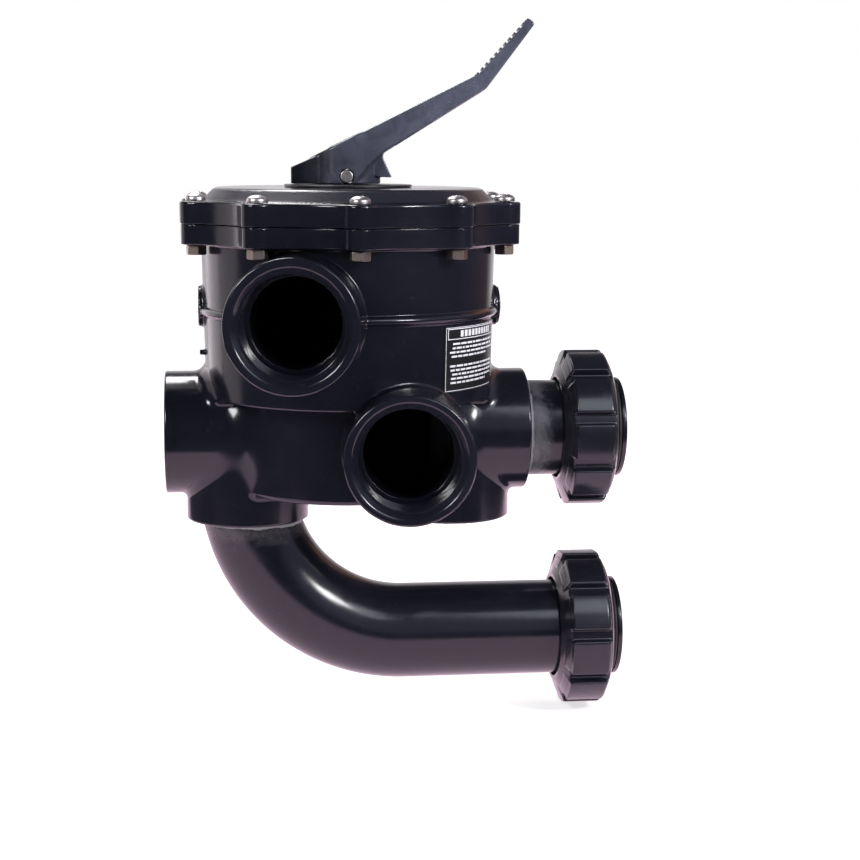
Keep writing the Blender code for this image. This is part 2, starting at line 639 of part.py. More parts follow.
def nut_profile():
    return [(31.9, -40.4), (34.2, -40.4), (NUT_R - NUT_GROOVE_DEEP, -35.6), (NUT_R - NUT_GROOVE_DEEP, -9.4),
            (40.6, -7.6), (39.0, -7.6), (39.0, -27.0), (31.9, -27.0)]


def make_union_nut(name, z, turn, mat):
    """Coupling nut: ten raised grip pads over a turned core with a cone at each end."""
    ob = add_object(name, lathe_bm(nut_profile(), (0, 0, 0), (1, 0, 0), 30))
    half = radians(14.2)
    r_in = 41.0
    for k in range(NUT_PADS):
        t0 = turn + 2 * pi * k / NUT_PADS
        bm = bmesh.new()
        prof = [(r_in, -37.2), (NUT_R, -34.6), (NUT_R, -12.6), (NUT_R - 1.2, -11.2), (r_in, -8.8)]
        prof[0] = (r_in, -37.6)
        cols = []
        steps = 2
        for s in range(steps + 1):
            t = t0 - half + 2 * half * s / steps
            cols.append([bm.verts.new((h, r * sin(t), r * cos(t))) for r, h in prof])
        for a, b in zip(cols, cols[1:]):
            for i in range(len(prof)):
                j = (i + 1) % len(prof)
                bm.faces.new((a[i], b[i], b[j], a[j]))
        bm.faces.new(cols[0])
        bm.faces.new(cols[-1])
        union(ob, solid(bm))
    finish(ob, mat)
    ob.location = Vector((0, 0, z)) * MM
    return ob


def make_label(mat):
    bm = bmesh.new()
    z0, z1 = 97.6, 137.4
    a0, a1 = radians(35.0), radians(75.5)

    def drum(z):
        return UPPER_DRUM_R_BOT + (89.9 - UPPER_DRUM_R_BOT) * (z - UPPER_DRUM_Z0 - 1.2) / (RIDGE_Z - RIDGE_HALF - UPPER_DRUM_Z0 - 1.2)
    prof = [(drum(z0) + 0.32, z0), (drum(z0) + 0.82, z0), (drum(z1) + 0.82, z1), (drum(z1) + 0.32, z1)]
    cols = []
    steps = 12
    for k in range(steps + 1):
        t = a0 + (a1 - a0) * k / steps - pi / 2
        cols.append([bm.verts.new((AXIS_X + r * cos(t), r * sin(t), z)) for r, z in prof])
    for a, b in zip(cols, cols[1:]):
        for i in range(4):
            j = (i + 1) % 4
            bm.faces.new((a[i], b[i], b[j], a[j]))
    bm.faces.new(cols[0])
    bm.faces.new(cols[-1])
    ob = add_object("label", bm)
    finish(ob, mat)
    return ob


def main():
    clear_scene()
    black = (0.012, 0.012, 0.014)
    body_mat = material("body_plastic", black, 0.22)
    cover_mat = material("cover_plastic", (0.016, 0.016, 0.018), 0.3)
    handle_mat = material("handle_plastic", (0.03, 0.033, 0.045), 0.35)
    plate_mat = material("wear_plate_plastic", (0.02, 0.02, 0.022), 0.4)
    tail_mat = material("tail_plastic", black, 0.25)
    nut_mat = material("union_nut_plastic", black, 0.2)
    elbow_mat = material("elbow_plastic", black, 0.2)
    steel = material("stainless_steel", (0.62, 0.6, 0.57), 0.28, 1.0)
    hexmat = material("plated_nut_steel", (0.42, 0.38, 0.34), 0.45, 1.0)
    spring_mat = material("spring_steel", (0.5, 0.5, 0.5), 0.3, 1.0)
    rubber = material("seal_rubber", (0.02, 0.02, 0.02), 0.6)
    key_mat = material("rotor_plastic", (0.02, 0.02, 0.022), 0.45)
    glass = material("sight_glass_plastic", (0.05, 0.05, 0.05), 0.08)
    label_mat = material("label_film", (0.02, 0.02, 0.02), 0.4)

    make_body(body_mat)
    make_cover(cover_mat)

    g0, g1, gd = ORING_GROOVE
    ring = add_object("cover_oring", torus_bm((g0 + g1) / 2, 1.4, (AXIS_X, 0, FLANGE_SPLIT - 0.15 - gd + 1.4 + 0.35),
                                              (0, 0, 1), 40, 5))
    finish(ring, rubber, 60)

    plate_z = DOME_Z + 0.3
    plate = add_object("wear_plate", lathe_bm([(PLATE_HOLE_R, plate_z), (PLATE_R, plate_z), (PLATE_R, plate_z + PLATE_T),
                                               (PLATE_HOLE_R, plate_z + PLATE_T)], (AXIS_X, 0, 0), (0, 0, 1), 32))
    finish(plate, plate_mat)

    screw = screw_mesh()
    nut = nut_mesh()
    for i in range(BOLTS):
        x, y = bolt_spot(i)
        copy_piece(screw, "cover_screw_%02d" % (i + 1), (x, y, FLANGE_Z1 + GAP), radians(17 + 41 * i), steel)
        copy_piece(nut, "cover_nut_%02d" % (i + 1), (x, y, FLANGE_Z0 - GAP), radians(8 + 23 * i), hexmat)
    bpy.data.objects.remove(screw, do_unlink=True)
    bpy.data.objects.remove(nut, do_unlink=True)

    make_rotor(key_mat)
    make_spider(rubber)
    make_spring(spring_mat)
    washer = add_object("spring_washer", lathe_bm([(STEM_R + 0.6, 200.6), (19.0, 200.6), (19.0, 202.0), (STEM_R + 0.6, 202.0)],
                                                  (AXIS_X, 0, 0), (0, 0, 1), 18))
    finish(washer, steel)
    set_origin(washer, (AXIS_X, 0, 0))
    for name, z in (("stem_oring_lower", 205.9), ("stem_oring_upper", 212.1)):
        o = add_object(name, torus_bm(9.05, 1.0, (AXIS_X, 0, z), (0, 0, 1), 16, 5))
        finish(o, rubber, 60)
        set_origin(o, (AXIS_X, 0, 0))

    pin = add_object("handle_pin", lathe_bm([(0, -18.6), (PIN_R - 0.5, -18.6), (PIN_R, -18.1), (PIN_R, 18.1),
                                             (PIN_R - 0.5, 18.6), (0, 18.6)], (AXIS_X, 0, PIN_Z), (0, 1, 0), 20))
    finish(pin, steel)
    turn_with_handle(pin)
    set_origin(pin, (AXIS_X, 0, PIN_Z))
    make_handle(handle_mat)

    # fittings of the two side bosses
    glass_ob = add_object("sight_glass", lathe_bm([
        (0, -9.0), (8.0, -9.0), (8.0, GAP), (11.6, GAP), (11.6, 0.9), (10.4, 1.3), (7.0, 2.1), (0, 2.5)],
        (AXIS_X + BOSS_OUT, 0, BOSS_Z), (1, 0, 0), 16))
    finish(glass_ob, glass)
    plug = add_object("gauge_plug", lathe_bm([(0, 0.2), (6.0, 0.2), (6.0, 10.0), (0, 10.0)],
                                             (AXIS_X - BOSS_OUT, 0, BOSS_Z), (1, 0, 0), 12))
    cut(plug, solid(lathe_bm([(0, -2), (3.2, -2), (3.2, 4.5), (0, 4.5)], (AXIS_X - BOSS_OUT, 0, BOSS_Z), (1, 0, 0), 6)))
    finish(plug, tail_mat)

    make_tail(tail_mat)
    make_elbow(elbow_mat)
    make_union_nut("upper_union_nut", PORT_Z, radians(14.5), nut_mat)
    make_union_nut("lower_union_nut", UNION_Z, radians(7.0), nut_mat)
    for name, z in (("upper_union_oring", PORT_Z), ("lower_union_oring", UNION_Z)):
        o = add_object(name, torus_bm(30.95, 1.1, (-4.5, 0, z), (1, 0, 0), 28, 5))
        finish(o, rubber, 60)
    make_label(label_mat)


main()
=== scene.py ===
"""Looks for the side-mount multiport valve: fine meshes, materials, lights and camera."""

import math
from math import sin, cos, pi, radians, sqrt, hypot, atan2, asin

import bpy
import bmesh
import numpy as np
from mathutils import Vector, Matrix


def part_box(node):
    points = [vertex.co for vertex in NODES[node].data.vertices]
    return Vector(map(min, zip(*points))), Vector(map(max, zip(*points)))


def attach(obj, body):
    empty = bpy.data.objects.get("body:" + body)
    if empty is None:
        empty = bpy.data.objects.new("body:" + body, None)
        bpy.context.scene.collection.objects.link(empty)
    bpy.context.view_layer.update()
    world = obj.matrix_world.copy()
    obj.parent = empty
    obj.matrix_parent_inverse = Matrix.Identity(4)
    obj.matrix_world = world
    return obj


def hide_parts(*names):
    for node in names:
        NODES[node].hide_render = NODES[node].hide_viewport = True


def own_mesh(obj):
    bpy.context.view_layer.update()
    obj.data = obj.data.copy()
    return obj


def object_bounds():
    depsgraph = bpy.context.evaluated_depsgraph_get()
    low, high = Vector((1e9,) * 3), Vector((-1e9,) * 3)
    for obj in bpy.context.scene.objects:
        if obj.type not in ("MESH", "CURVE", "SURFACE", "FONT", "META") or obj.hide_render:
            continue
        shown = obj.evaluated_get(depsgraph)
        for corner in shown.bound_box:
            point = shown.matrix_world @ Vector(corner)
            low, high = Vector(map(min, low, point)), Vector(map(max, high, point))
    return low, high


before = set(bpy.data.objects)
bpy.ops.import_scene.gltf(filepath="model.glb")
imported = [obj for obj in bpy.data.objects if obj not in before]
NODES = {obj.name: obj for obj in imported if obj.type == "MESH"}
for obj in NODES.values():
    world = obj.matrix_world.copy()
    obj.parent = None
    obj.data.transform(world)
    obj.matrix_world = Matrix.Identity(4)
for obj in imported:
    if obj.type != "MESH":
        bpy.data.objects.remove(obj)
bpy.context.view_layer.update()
MM = 0.001


def mm_box(node):
    lo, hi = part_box(node)
    return [c * 1000 for c in lo], [c * 1000 for c in hi]


# ---------------------------------------------------------------- sizes, in mm, taken from the frame
_lo, _hi = mm_box("wear_plate")
AX = (_lo[0] + _hi[0]) / 2                       # valve axis
PLATE_Z0, PLATE_Z1 = _lo[2], _hi[2]
PLATE_R = (_hi[0] - _lo[0]) / 2
_lo, _hi = mm_box("upper_union_oring")
PZ = (_lo[2] + _hi[2]) / 2                       # lower ports and upper union
_lo, _hi = mm_box("lower_union_oring")
UZ = (_lo[2] + _hi[2]) / 2                       # lower union
_lo, _hi = mm_box("valve_body")
BODY_LEFT = AX - _lo[0]
BODY_FRONT = _lo[1]
BODY_TOP = _hi[2]
DOWN_Z = _lo[2]
_lo, _hi = mm_box("cover")
COVER_TOP = 217.1
COVER_MID_Z = BODY_TOP + 0.3
_lo, _hi = mm_box("handle_pin")
PIN_Z = (_lo[2] + _hi[2]) / 2
PIN_HALF = (_hi[1] - _lo[1]) / 2

HUB_R = 38.1
HUB_LEFT, HUB_RIGHT = 114.2, 110.9
DOWN_X = 63.7
BOSS_Z = 144.0
BOSS_OUT = 93.0
RIDGE_Z = 142.0
FLANGE_Z0, FLANGE_Z1 = 183.5, 209.2
TOP_PORT = (AX - 40.4, -122.5, 142.0)
TOP_TURN = radians(8.0)
LOW_TURN = radians(4.0)
LOW_PORT = (AX + 26.6, -121.5, PZ)
THREAD_R = 29.6
THREAD_DEEP = 27.0
BOLTS = 10
BOLT_CIRCLE = 98.0
LUG_R = 9.2
VALLEY_R = 92.0
ELBOW_R = 98.0


# ---------------------------------------------------------------- distance fields
def f_union(a, b, r):
    if r <= 0:
        return np.minimum(a, b)
    u = np.maximum(r - a, 0)
    v = np.maximum(r - b, 0)
    return np.maximum(r, np.minimum(a, b)) - np.sqrt(u * u + v * v)


def f_both(a, b, r):
    if r <= 0:
        return np.maximum(a, b)
    u = np.maximum(r + a, 0)
    v = np.maximum(r + b, 0)
    return np.minimum(-r, np.maximum(a, b)) + np.sqrt(u * u + v * v)


def f_cut(a, b, r):
    return f_both(a, -b, r)


def cyl_x(p, y, z, r, x0, x1, rd):
    x, yy, zz = p
    return f_both(np.hypot(yy - y, zz - z) - r, np.maximum(x0 - x, x - x1), rd)


def cyl_z(p, x, y, r, z0, z1, rd):
    xx, yy, z = p
    return f_both(np.hypot(xx - x, yy - y) - r, np.maximum(z0 - z, z - z1), rd)


def along(p, base, axis):
    """Height along an axis and radius from it."""
    dx, dy, dz = p[0] - base[0], p[1] - base[1], p[2] - base[2]
    h = dx * axis[0] + dy * axis[1] + dz * axis[2]
    return h, np.sqrt(np.maximum(dx * dx + dy * dy + dz * dz - h * h, 0))


def segment_profile(r, h, pts):
    """Signed distance to a closed outline of (r, h) points, as for a turned piece."""
    d = np.full(r.shape, 1e9, r.dtype)
    inside = np.zeros(r.shape, bool)
    n = len(pts)
    for i in range(n):
        ax, ay = pts[i]
        bx, by = pts[(i + 1) % n]
        ex, ey = bx - ax, by - ay
        wx, wy = r - ax, h - ay
        t = np.clip((wx * ex + wy * ey) / (ex * ex + ey * ey + 1e-12), 0, 1)
        d = np.minimum(d, (wx - ex * t) ** 2 + (wy - ey * t) ** 2)
        if ay != by:
            cross = ((ay > h) != (by > h)) & (r < (bx - ax) * (h - ay) / (by - ay) + ax)
            inside ^= cross
    d = np.sqrt(d)
    return np.where(inside, -d, d)


def lug_field(p, grow, fillet=13.0):
    """Plan outline of the ten-lug flange: negative inside."""
    dx, dy = p[0] - AX, p[1]
    rho = np.hypot(dx, dy)
    ang = np.arctan2(dy, dx) + pi / 2
    step = 2 * pi / BOLTS
    ang = np.abs(ang - step * np.round(ang / step))          # 0 at a lug, pi/10 at a valley
    half = step / 2
    lug, valley = LUG_R + grow, VALLEY_R - 0.8 + grow
    vx, vy = valley * cos(half), valley * sin(half)
    ddx, ddy = BOLT_CIRCLE - vx, -vy
    dist = hypot(ddx, ddy)
    heading = atan2(ddy, ddx) + asin((lug - 1.1) / dist)
    nx, ny = -sin(heading), cos(heading)                     # outward normal of the flank

    def star(angle):
        x, y = rho * np.cos(angle), rho * np.sin(angle)
        return np.maximum((x - vx) * nx + (y - vy) * ny, x - 104.2 - grow)
    a = star(ang)
    b = star(2 * half - ang)
    round_lug = np.hypot(rho * np.cos(ang) - BOLT_CIRCLE, rho * np.sin(ang)) - lug
    # straight flanks with a soft vee between two lugs, and the lug's own round face standing a little proud
    return f_union(f_union(a, b, fillet), round_lug, 0.5)


def surface(f, lo, hi, h, block=8, lip=1.25):
    """Quad mesh of f = 0 by surface nets, its points moved onto the surface, with exact normals."""
    lo = np.array(lo, float)
    n = np.maximum(np.ceil((np.array(hi, float) - lo) / (h * block)).astype(int), 1)
    cx, cy, cz = np.meshgrid(*[lo[i] + (np.arange(n[i]) + 0.5) * block * h for i in range(3)], indexing="ij")
    fc = f((cx.ravel(), cy.ravel(), cz.ravel()))
    reach = (block * h * sqrt(3) / 2 + 1.5 * h) * lip
    act = np.nonzero(np.abs(fc) < reach)[0]
    cells = np.where(fc < 0, np.float32(-50), np.float32(50))[:, None].repeat(block ** 3, 1).astype(np.float32)
    off = (np.stack(np.meshgrid(*[np.arange(block)] * 3, indexing="ij"), -1).reshape(-1, 3) - (block - 1) / 2 - 0.5) * h
    base = np.stack([cx.ravel(), cy.ravel(), cz.ravel()], -1)
    for s in range(0, len(act), 2000):
        a = act[s:s + 2000]
        pts = (base[a][:, None, :] + off[None]).reshape(-1, 3)
        cells[a] = f((pts[:, 0], pts[:, 1], pts[:, 2])).reshape(len(a), -1)
    org = lo                                                  # grid point (0,0,0)
    val = cells.reshape(n[0], n[1], n[2], block, block, block).transpose(0, 3, 1, 4, 2, 5).reshape(n * block)
    del cells
    ins = val < 0
    cnt = np.zeros(tuple(np.array(ins.shape) - 1), np.int8)
    corner = [(i, j, k) for i in (0, 1) for j in (0, 1) for k in (0, 1)]
    sh = ins.shape

    def part(a, c):
        return a[c[0]:sh[0] - 1 + c[0], c[1]:sh[1] - 1 + c[1], c[2]:sh[2] - 1 + c[2]]
    for c in corner:
        cnt += part(ins, c)
    ci, cj, ck = np.nonzero((cnt > 0) & (cnt < 8))
    del cnt
    ids = np.full((sh[0] - 1, sh[1] - 1, sh[2] - 1), -1, np.int32)
    ids[ci, cj, ck] = np.arange(len(ci))
    pos = np.zeros((len(ci), 3))
    num = np.zeros(len(ci))
    for a in corner:
        va = val[ci + a[0], cj + a[1], ck + a[2]]
        for ax in range(3):
            if a[ax]:
                continue
            b = list(a)
            b[ax] = 1
            vb = val[ci + b[0], cj + b[1], ck + b[2]]
            m = (va < 0) != (vb < 0)
            t = np.where(m, va / np.where(m, va - vb, 1), 0)
            q = np.array(a, float)[None] + 0.0
            q = np.repeat(q, len(ci), 0)
            q[:, ax] += t
            pos[m] += q[m]
            num += m
    pos = pos / num[:, None] + np.stack([ci, cj, ck], -1)
    pos = pos * h + org[None]
    quads = []
    for ax in range(3):
        u, v = (ax + 1) % 3, (ax + 2) % 3
        sl0 = [slice(None)] * 3
        sl1 = [slice(None)] * 3
        sl0[ax] = slice(0, -1)
        sl1[ax] = slice(1, None)
        a, b = ins[tuple(sl0)], ins[tuple(sl1)]
        g = np.stack(np.nonzero(a != b), -1)
        ok = (g[:, u] > 0) & (g[:, v] > 0) & (g[:, u] < sh[u] - 1) & (g[:, v] < sh[v] - 1)
        g = g[ok]
        up = a[tuple(g.T)]
        cyc = []
        for du, dv in ((-1, -1), (0, -1), (0, 0), (-1, 0)):
            c = g.copy()
            c[:, u] += du
            c[:, v] += dv
            cyc.append(ids[tuple(c.T)])
        q = np.stack(cyc, -1)
        q[~up] = q[~up][:, ::-1]
        quads.append(q)
    quads = np.concatenate(quads)
    quads = quads[(quads >= 0).all(1)]

    def grad(p, e):
        g = np.empty_like(p)
        for ax in range(3):
            d = np.zeros(3)
            d[ax] = e
            a, b = p + d, p - d
            g[:, ax] = f((a[:, 0], a[:, 1], a[:, 2])) - f((b[:, 0], b[:, 1], b[:, 2]))
        return g / (2 * e)
    for _ in range(3):
        g = grad(pos, 0.02)
        v = f((pos[:, 0], pos[:, 1], pos[:, 2]))
        step = v / np.maximum((g * g).sum(1), 0.2)
        pos -= np.clip(step, -0.6 * h, 0.6 * h)[:, None] * g
    nor = grad(pos, 0.08)
    nor /= np.maximum(np.linalg.norm(nor, axis=1), 1e-9)[:, None]
    return pos, quads, nor


def mesh_object(name, pos, faces, normals=None, scale=MM):
    """Object from arrays: faces is an (n, 4) array, or a list of index lists."""
    me = bpy.data.meshes.new(name)
    if isinstance(faces, np.ndarray):
        me.vertices.add(len(pos))
        me.vertices.foreach_set("co", (np.asarray(pos) * scale).astype(np.float32).ravel())
        k = faces.shape[1]
        me.loops.add(faces.size)
        me.loops.foreach_set("vertex_index", faces.astype(np.int32).ravel())
        me.polygons.add(len(faces))
        me.polygons.foreach_set("loop_start", np.arange(0, faces.size, k, dtype=np.int32))
        me.update(calc_edges=True)
        me.validate()
    else:
        me.from_pydata([tuple(c * scale for c in p) for p in pos], [], faces)
        me.update()
    me.shade_smooth()
    if normals is not None and len(me.vertices) == len(normals):
        me.normals_split_custom_set_from_vertices(np.asarray(normals, np.float32))
    ob = bpy.data.objects.new(name, me)
    bpy.context.scene.collection.objects.link(ob)
    return ob


def field_object(name, f, lo, hi, h):
    pos, quads, nor = surface(f, lo, hi, h)
    ob = mesh_object(name, pos, quads, nor)
    return ob


# ---------------------------------------------------------------- turned pieces
def smooth_profile(pts, radii, steps=5):
    """Rounds the corners of a closed outline; a radius of 0 keeps a corner."""
    out = []
    n = len(pts)
    for i in range(n):
        p = Vector(pts[i])
        a = Vector(pts[i - 1])
        b = Vector(pts[(i + 1) % n])
        r = radii[i] if isinstance(radii, (list, tuple)) else radii
        if r <= 0:
            out.append((p.x, p.y))
            continue
        u, v = (a - p), (b - p)
        lu, lv = u.length, v.length
        if lu < 1e-9 or lv < 1e-9:
            out.append((p.x, p.y))
            continue
        u /= lu
        v /= lv
        c = max(-0.9999, min(0.9999, u.dot(v)))
        half = math.acos(c) / 2
        back = min(r / math.tan(half), lu * 0.48, lv * 0.48)
        rr = back * math.tan(half)
        s, e = p + u * back, p + v * back
        mid = (u + v)
        if mid.length < 1e-9:
            out.append((p.x, p.y))
            continue
        centre = p + mid.normalized() * (rr / math.sin(half))
        a0 = atan2(s.y - centre.y, s.x - centre.x)
        a1 = atan2(e.y - centre.y, e.x - centre.x)
        while a1 - a0 > pi:
            a1 -= 2 * pi
        while a1 - a0 < -pi:
            a1 += 2 * pi
        for k in range(steps + 1):
            t = a0 + (a1 - a0) * k / steps
            out.append((centre.x + rr * cos(t), centre.y + rr * sin(t)))
    return out


def lathe(name, profile, base, axis, segs=128, wobble=None, sharp=32.0, phase=0.0):
    """Closed (radius, height) outline turned about an axis; wobble(angle, h) adds to the radius."""
    a = Vector(axis).normalized()
    ref = Vector((0, 0, 1)) if abs(a.z) < 0.9 else Vector((1, 0, 0))
    u = ref.cross(a).normalized()
    v = a.cross(u)
    base = Vector(base)
    bm = bmesh.new()
    rings = []
    for r, h in profile:
        if r < 1e-6:
            rings.append([bm.verts.new(base + a * h)])
            continue
        ring = []
        for k in range(segs):
            t = phase + 2 * pi * k / segs
            rr = r + (wobble(t, h) if wobble else 0.0)
            ring.append(bm.verts.new(base + a * h + (u * cos(t) + v * sin(t)) * rr))
        rings.append(ring)
    n = len(rings)
    for i in range(n):
        p, q = rings[i], rings[(i + 1) % n]
        if len(p) == 1 and len(q) == 1:
            continue
        for k in range(segs):
            m = (k + 1) % segs
            if len(p) == 1:
                bm.faces.new((p[0], q[k], q[m]))
            elif len(q) == 1:
                bm.faces.new((p[k], q[0], p[m]))
            else:
                bm.faces.new((p[k], q[k], q[m], p[m]))
    return bm_object(name, bm, sharp)


def bm_object(name, bm, sharp=32.0):
    bmesh.ops.recalc_face_normals(bm, faces=bm.faces)
    if bm.calc_volume(signed=True) < 0:
        bmesh.ops.reverse_faces(bm, faces=bm.faces)
    bmesh.ops.scale(bm, vec=(MM, MM, MM), verts=bm.verts)
    me = bpy.data.meshes.new(name)
    bm.to_mesh(me)
    bm.free()
    me.shade_smooth()
    me.set_sharp_from_angle(angle=radians(sharp))
    ob = bpy.data.objects.new(name, me)
    bpy.context.scene.collection.objects.link(ob)
    return ob


# ---------------------------------------------------------------- body
FACE_AXIS_TOP = (-sin(TOP_TURN), -cos(TOP_TURN), 0.0)
FACE_AXIS_LOW = (-sin(LOW_TURN), -cos(LOW_TURN), 0.0)


def port_cut(p, face, axis, inner):
    """Mouth, thread zone and plain bore of a threaded port; heights run out of the face."""
    h, r = along(p, face, axis)
    mouth = np.maximum((r - 34.0 - h * 0.944) * 0.727, np.maximum(-4.2 - h, h - 6))
    zone = np.maximum(r - 31.2, np.maximum(-THREAD_DEEP - h, h + 2.0))
    bore = np.maximum(r - 26.6, np.maximum(inner - h, h + 10))
    return np.minimum(np.minimum(mouth, zone), bore)


def body_field(p):
    x, y, z = p
    dx = x - AX
    rho = np.hypot(dx, y)
    lower = f_both(rho - (72.4 + (z - 30.4) * 0.017), np.maximum(30.4 - z, z - 94.0), 3.0)
    upper = f_both(rho - (88.8 + (z - 89.2) * 0.0206), np.maximum(89.2 - z, z - 190.0), 1.3)
    side = cyl_x(p, 0, PZ, HUB_R, AX - HUB_LEFT, AX + HUB_RIGHT, 1.4)
    down = f_both(np.hypot(np.abs(dx) - DOWN_X, y) - HUB_R, np.maximum(DOWN_Z - z, z - PZ), 1.4)
    f = f_union(lower, side, 14.0)
    f = f_union(f, down, 3.5)
    f = f_union(f, upper, 2.2)
    f = np.minimum(f, f_union(upper, side, 8.0))
    # bead round the upper drum
    bead = np.hypot(rho - 90.1, z - RIDGE_Z) - 2.7
    f = f_union(f, bead, 0.9)
    # threaded ports, with a little draft
    h, r = along(p, TOP_PORT, FACE_AXIS_TOP)
    port = f_both(r - (38.8 - h * 0.008), np.maximum(h, -80 - h), 1.5)
    f = f_union(f, port, 1.6)
    h, r = along(p, LOW_PORT, FACE_AXIS_LOW)
    port = f_both(r - (38.0 - h * 0.008), np.maximum(h, -75 - h), 1.5)
    f = f_union(f, port, 2.2)
    # flange with ten lugs
    lug = lug_field(p, 0.0)
    flange = f_both(f_both(lug, FLANGE_Z0 - z, 0.9), z - BODY_TOP, 0.35)
    f = f_union(f, flange, 2.0)
    # side bosses and the gate stub
    boss = f_both(np.hypot(y, z - BOSS_Z) - 12.7, np.abs(dx) - BOSS_OUT, 0.9)
    f = f_union(f, np.maximum(boss, 80 - np.abs(dx)), 1.6)
    stub = f_both(np.hypot(y + 6.0, z - 116.0) - 1.7, np.maximum(-dx - 92.4, dx + 80), 0.5)
    f = f_union(f, stub, 0.8)
    # hollows
    chamber = np.maximum(rho - 83.4, 96.0 - z)
    ang = np.arctan2(y, dx)
    a = ang - radians(30) - radians(60) * np.round((ang - radians(30)) / radians(60))
    pocket = np.maximum(np.maximum(rho - 66.0, 15.0 - rho), np.maximum(2.5 - np.abs(rho * np.sin(a)), 36.5 - z))
    cut = np.minimum(chamber, np.maximum(pocket, z - 110))
    cut = np.minimum(cut, np.maximum(np.abs(rho - 87.9) - 1.9, BODY_TOP - 3.2 - z))
    step = 2 * pi / BOLTS
    b = ang + pi / 2
    b = b - step * np.round(b / step)
    cut = np.minimum(cut, np.maximum(np.hypot(rho * np.cos(b) - BOLT_CIRCLE, rho * np.sin(b)) - 3.35, 180.0 - z))
    rs = np.hypot(y, z - PZ)
    adx = np.abs(dx)
    face = np.where(dx < 0, HUB_LEFT, HUB_RIGHT)
    socket = np.maximum(rs - 30.5, face - 28.0 - adx)
    cut = np.minimum(cut, np.minimum(socket, np.maximum(rs - 26.0, 46.0 - adx)))
    lead = np.maximum((rs - 30.5 - (adx - face + 1.2)) * 0.707, face - 3.0 - adx)
    cut = np.minimum(cut, lead)
    rl = np.hypot(adx - DOWN_X, y)
    deep = np.where(dx < 0, DOWN_Z + 28.0, DOWN_Z + 17.0)
    cut = np.minimum(cut, np.maximum(rl - 30.5, z - deep))
    cut = np.minimum(cut, np.maximum(np.maximum(rl - 25.6, z - PZ - 1.7), dx))
    cut = np.minimum(cut, port_cut(p, TOP_PORT, FACE_AXIS_TOP, -62.0))
    cut = np.minimum(cut, port_cut(p, LOW_PORT, FACE_AXIS_LOW, -74.0))
    rb = np.hypot(y, z - BOSS_Z)
    cut = np.minimum(cut, np.maximum(rb - np.where(dx < 0, 6.8, 8.9), np.where(dx < 0, 75.0, 73.0 + 8) - adx))
    return f_cut(f, cut, 0.8)


def cover_field(p):
    x, y, z = p
    dx = x - AX
    rho = np.hypot(dx, y)
    lug = lug_field(p, 0.5)
    plate = f_both(f_both(lug, z - FLANGE_Z1, 1.3), COVER_MID_Z - z, 0.35)
    cone = np.maximum((rho - 89.4 + (z - 209.7) * 0.986) * 0.712, rho - 89.4)
    dome = f_both(cone, np.maximum(z - COVER_TOP, 200.0 - z), 1.6)
    f = f_union(plate, dome, 1.2)
    skirt = f_both(np.abs(rho - 81.5) - 1.5, np.maximum(190.5 - z, z - 205), 0.5)
    cut = np.maximum(rho - 80.0, z - 211.4)
    f = f_cut(f, cut, 1.5)
    f = f_union(f, skirt, 0.5)
    hub = f_both(rho - 22.0, np.maximum(202.6 - z, z - 213), 0.8)
    f = f_union(f, hub, 2.0)
    step = 2 * pi / BOLTS
    ang = np.arctan2(y, dx)
    b = ang + pi / 2
    b = b - step * np.round(b / step)
    bolt = np.hypot(rho * np.cos(b) - BOLT_CIRCLE, rho * np.sin(b))
    holes = np.minimum(bolt - 3.35, rho - 10.4)
    f = f_cut(f, holes, 0.5)
    return f


# ---------------------------------------------------------------- handle
def poly_field(a, b, pts):
    return segment_profile(a, b, pts)


def inset(pts, d):
    """Polygon (counter-clockwise) with every edge moved inwards by d."""
    out = []
    n = len(pts)
    for i in range(n):
        p0, p1, p2 = Vector(pts[i - 1]), Vector(pts[i]), Vector(pts[(i + 1) % n])
        e0, e1 = (p1 - p0).normalized(), (p2 - p1).normalized()
        n0, n1 = Vector((-e0.y, e0.x)), Vector((-e1.y, e1.x))
        k = 1 + n0.dot(n1)
        q = p1 + (n0 + n1) * (d / max(k, 0.2))
        out.append((q.x, q.y))
    return out


def soft_poly(a, b, pts, r):
    """Polygon field with its outer corners rounded by r."""
    return segment_profile(a, b, inset(pts, r)) - r


HANDLE_YAW = radians(-6.6)


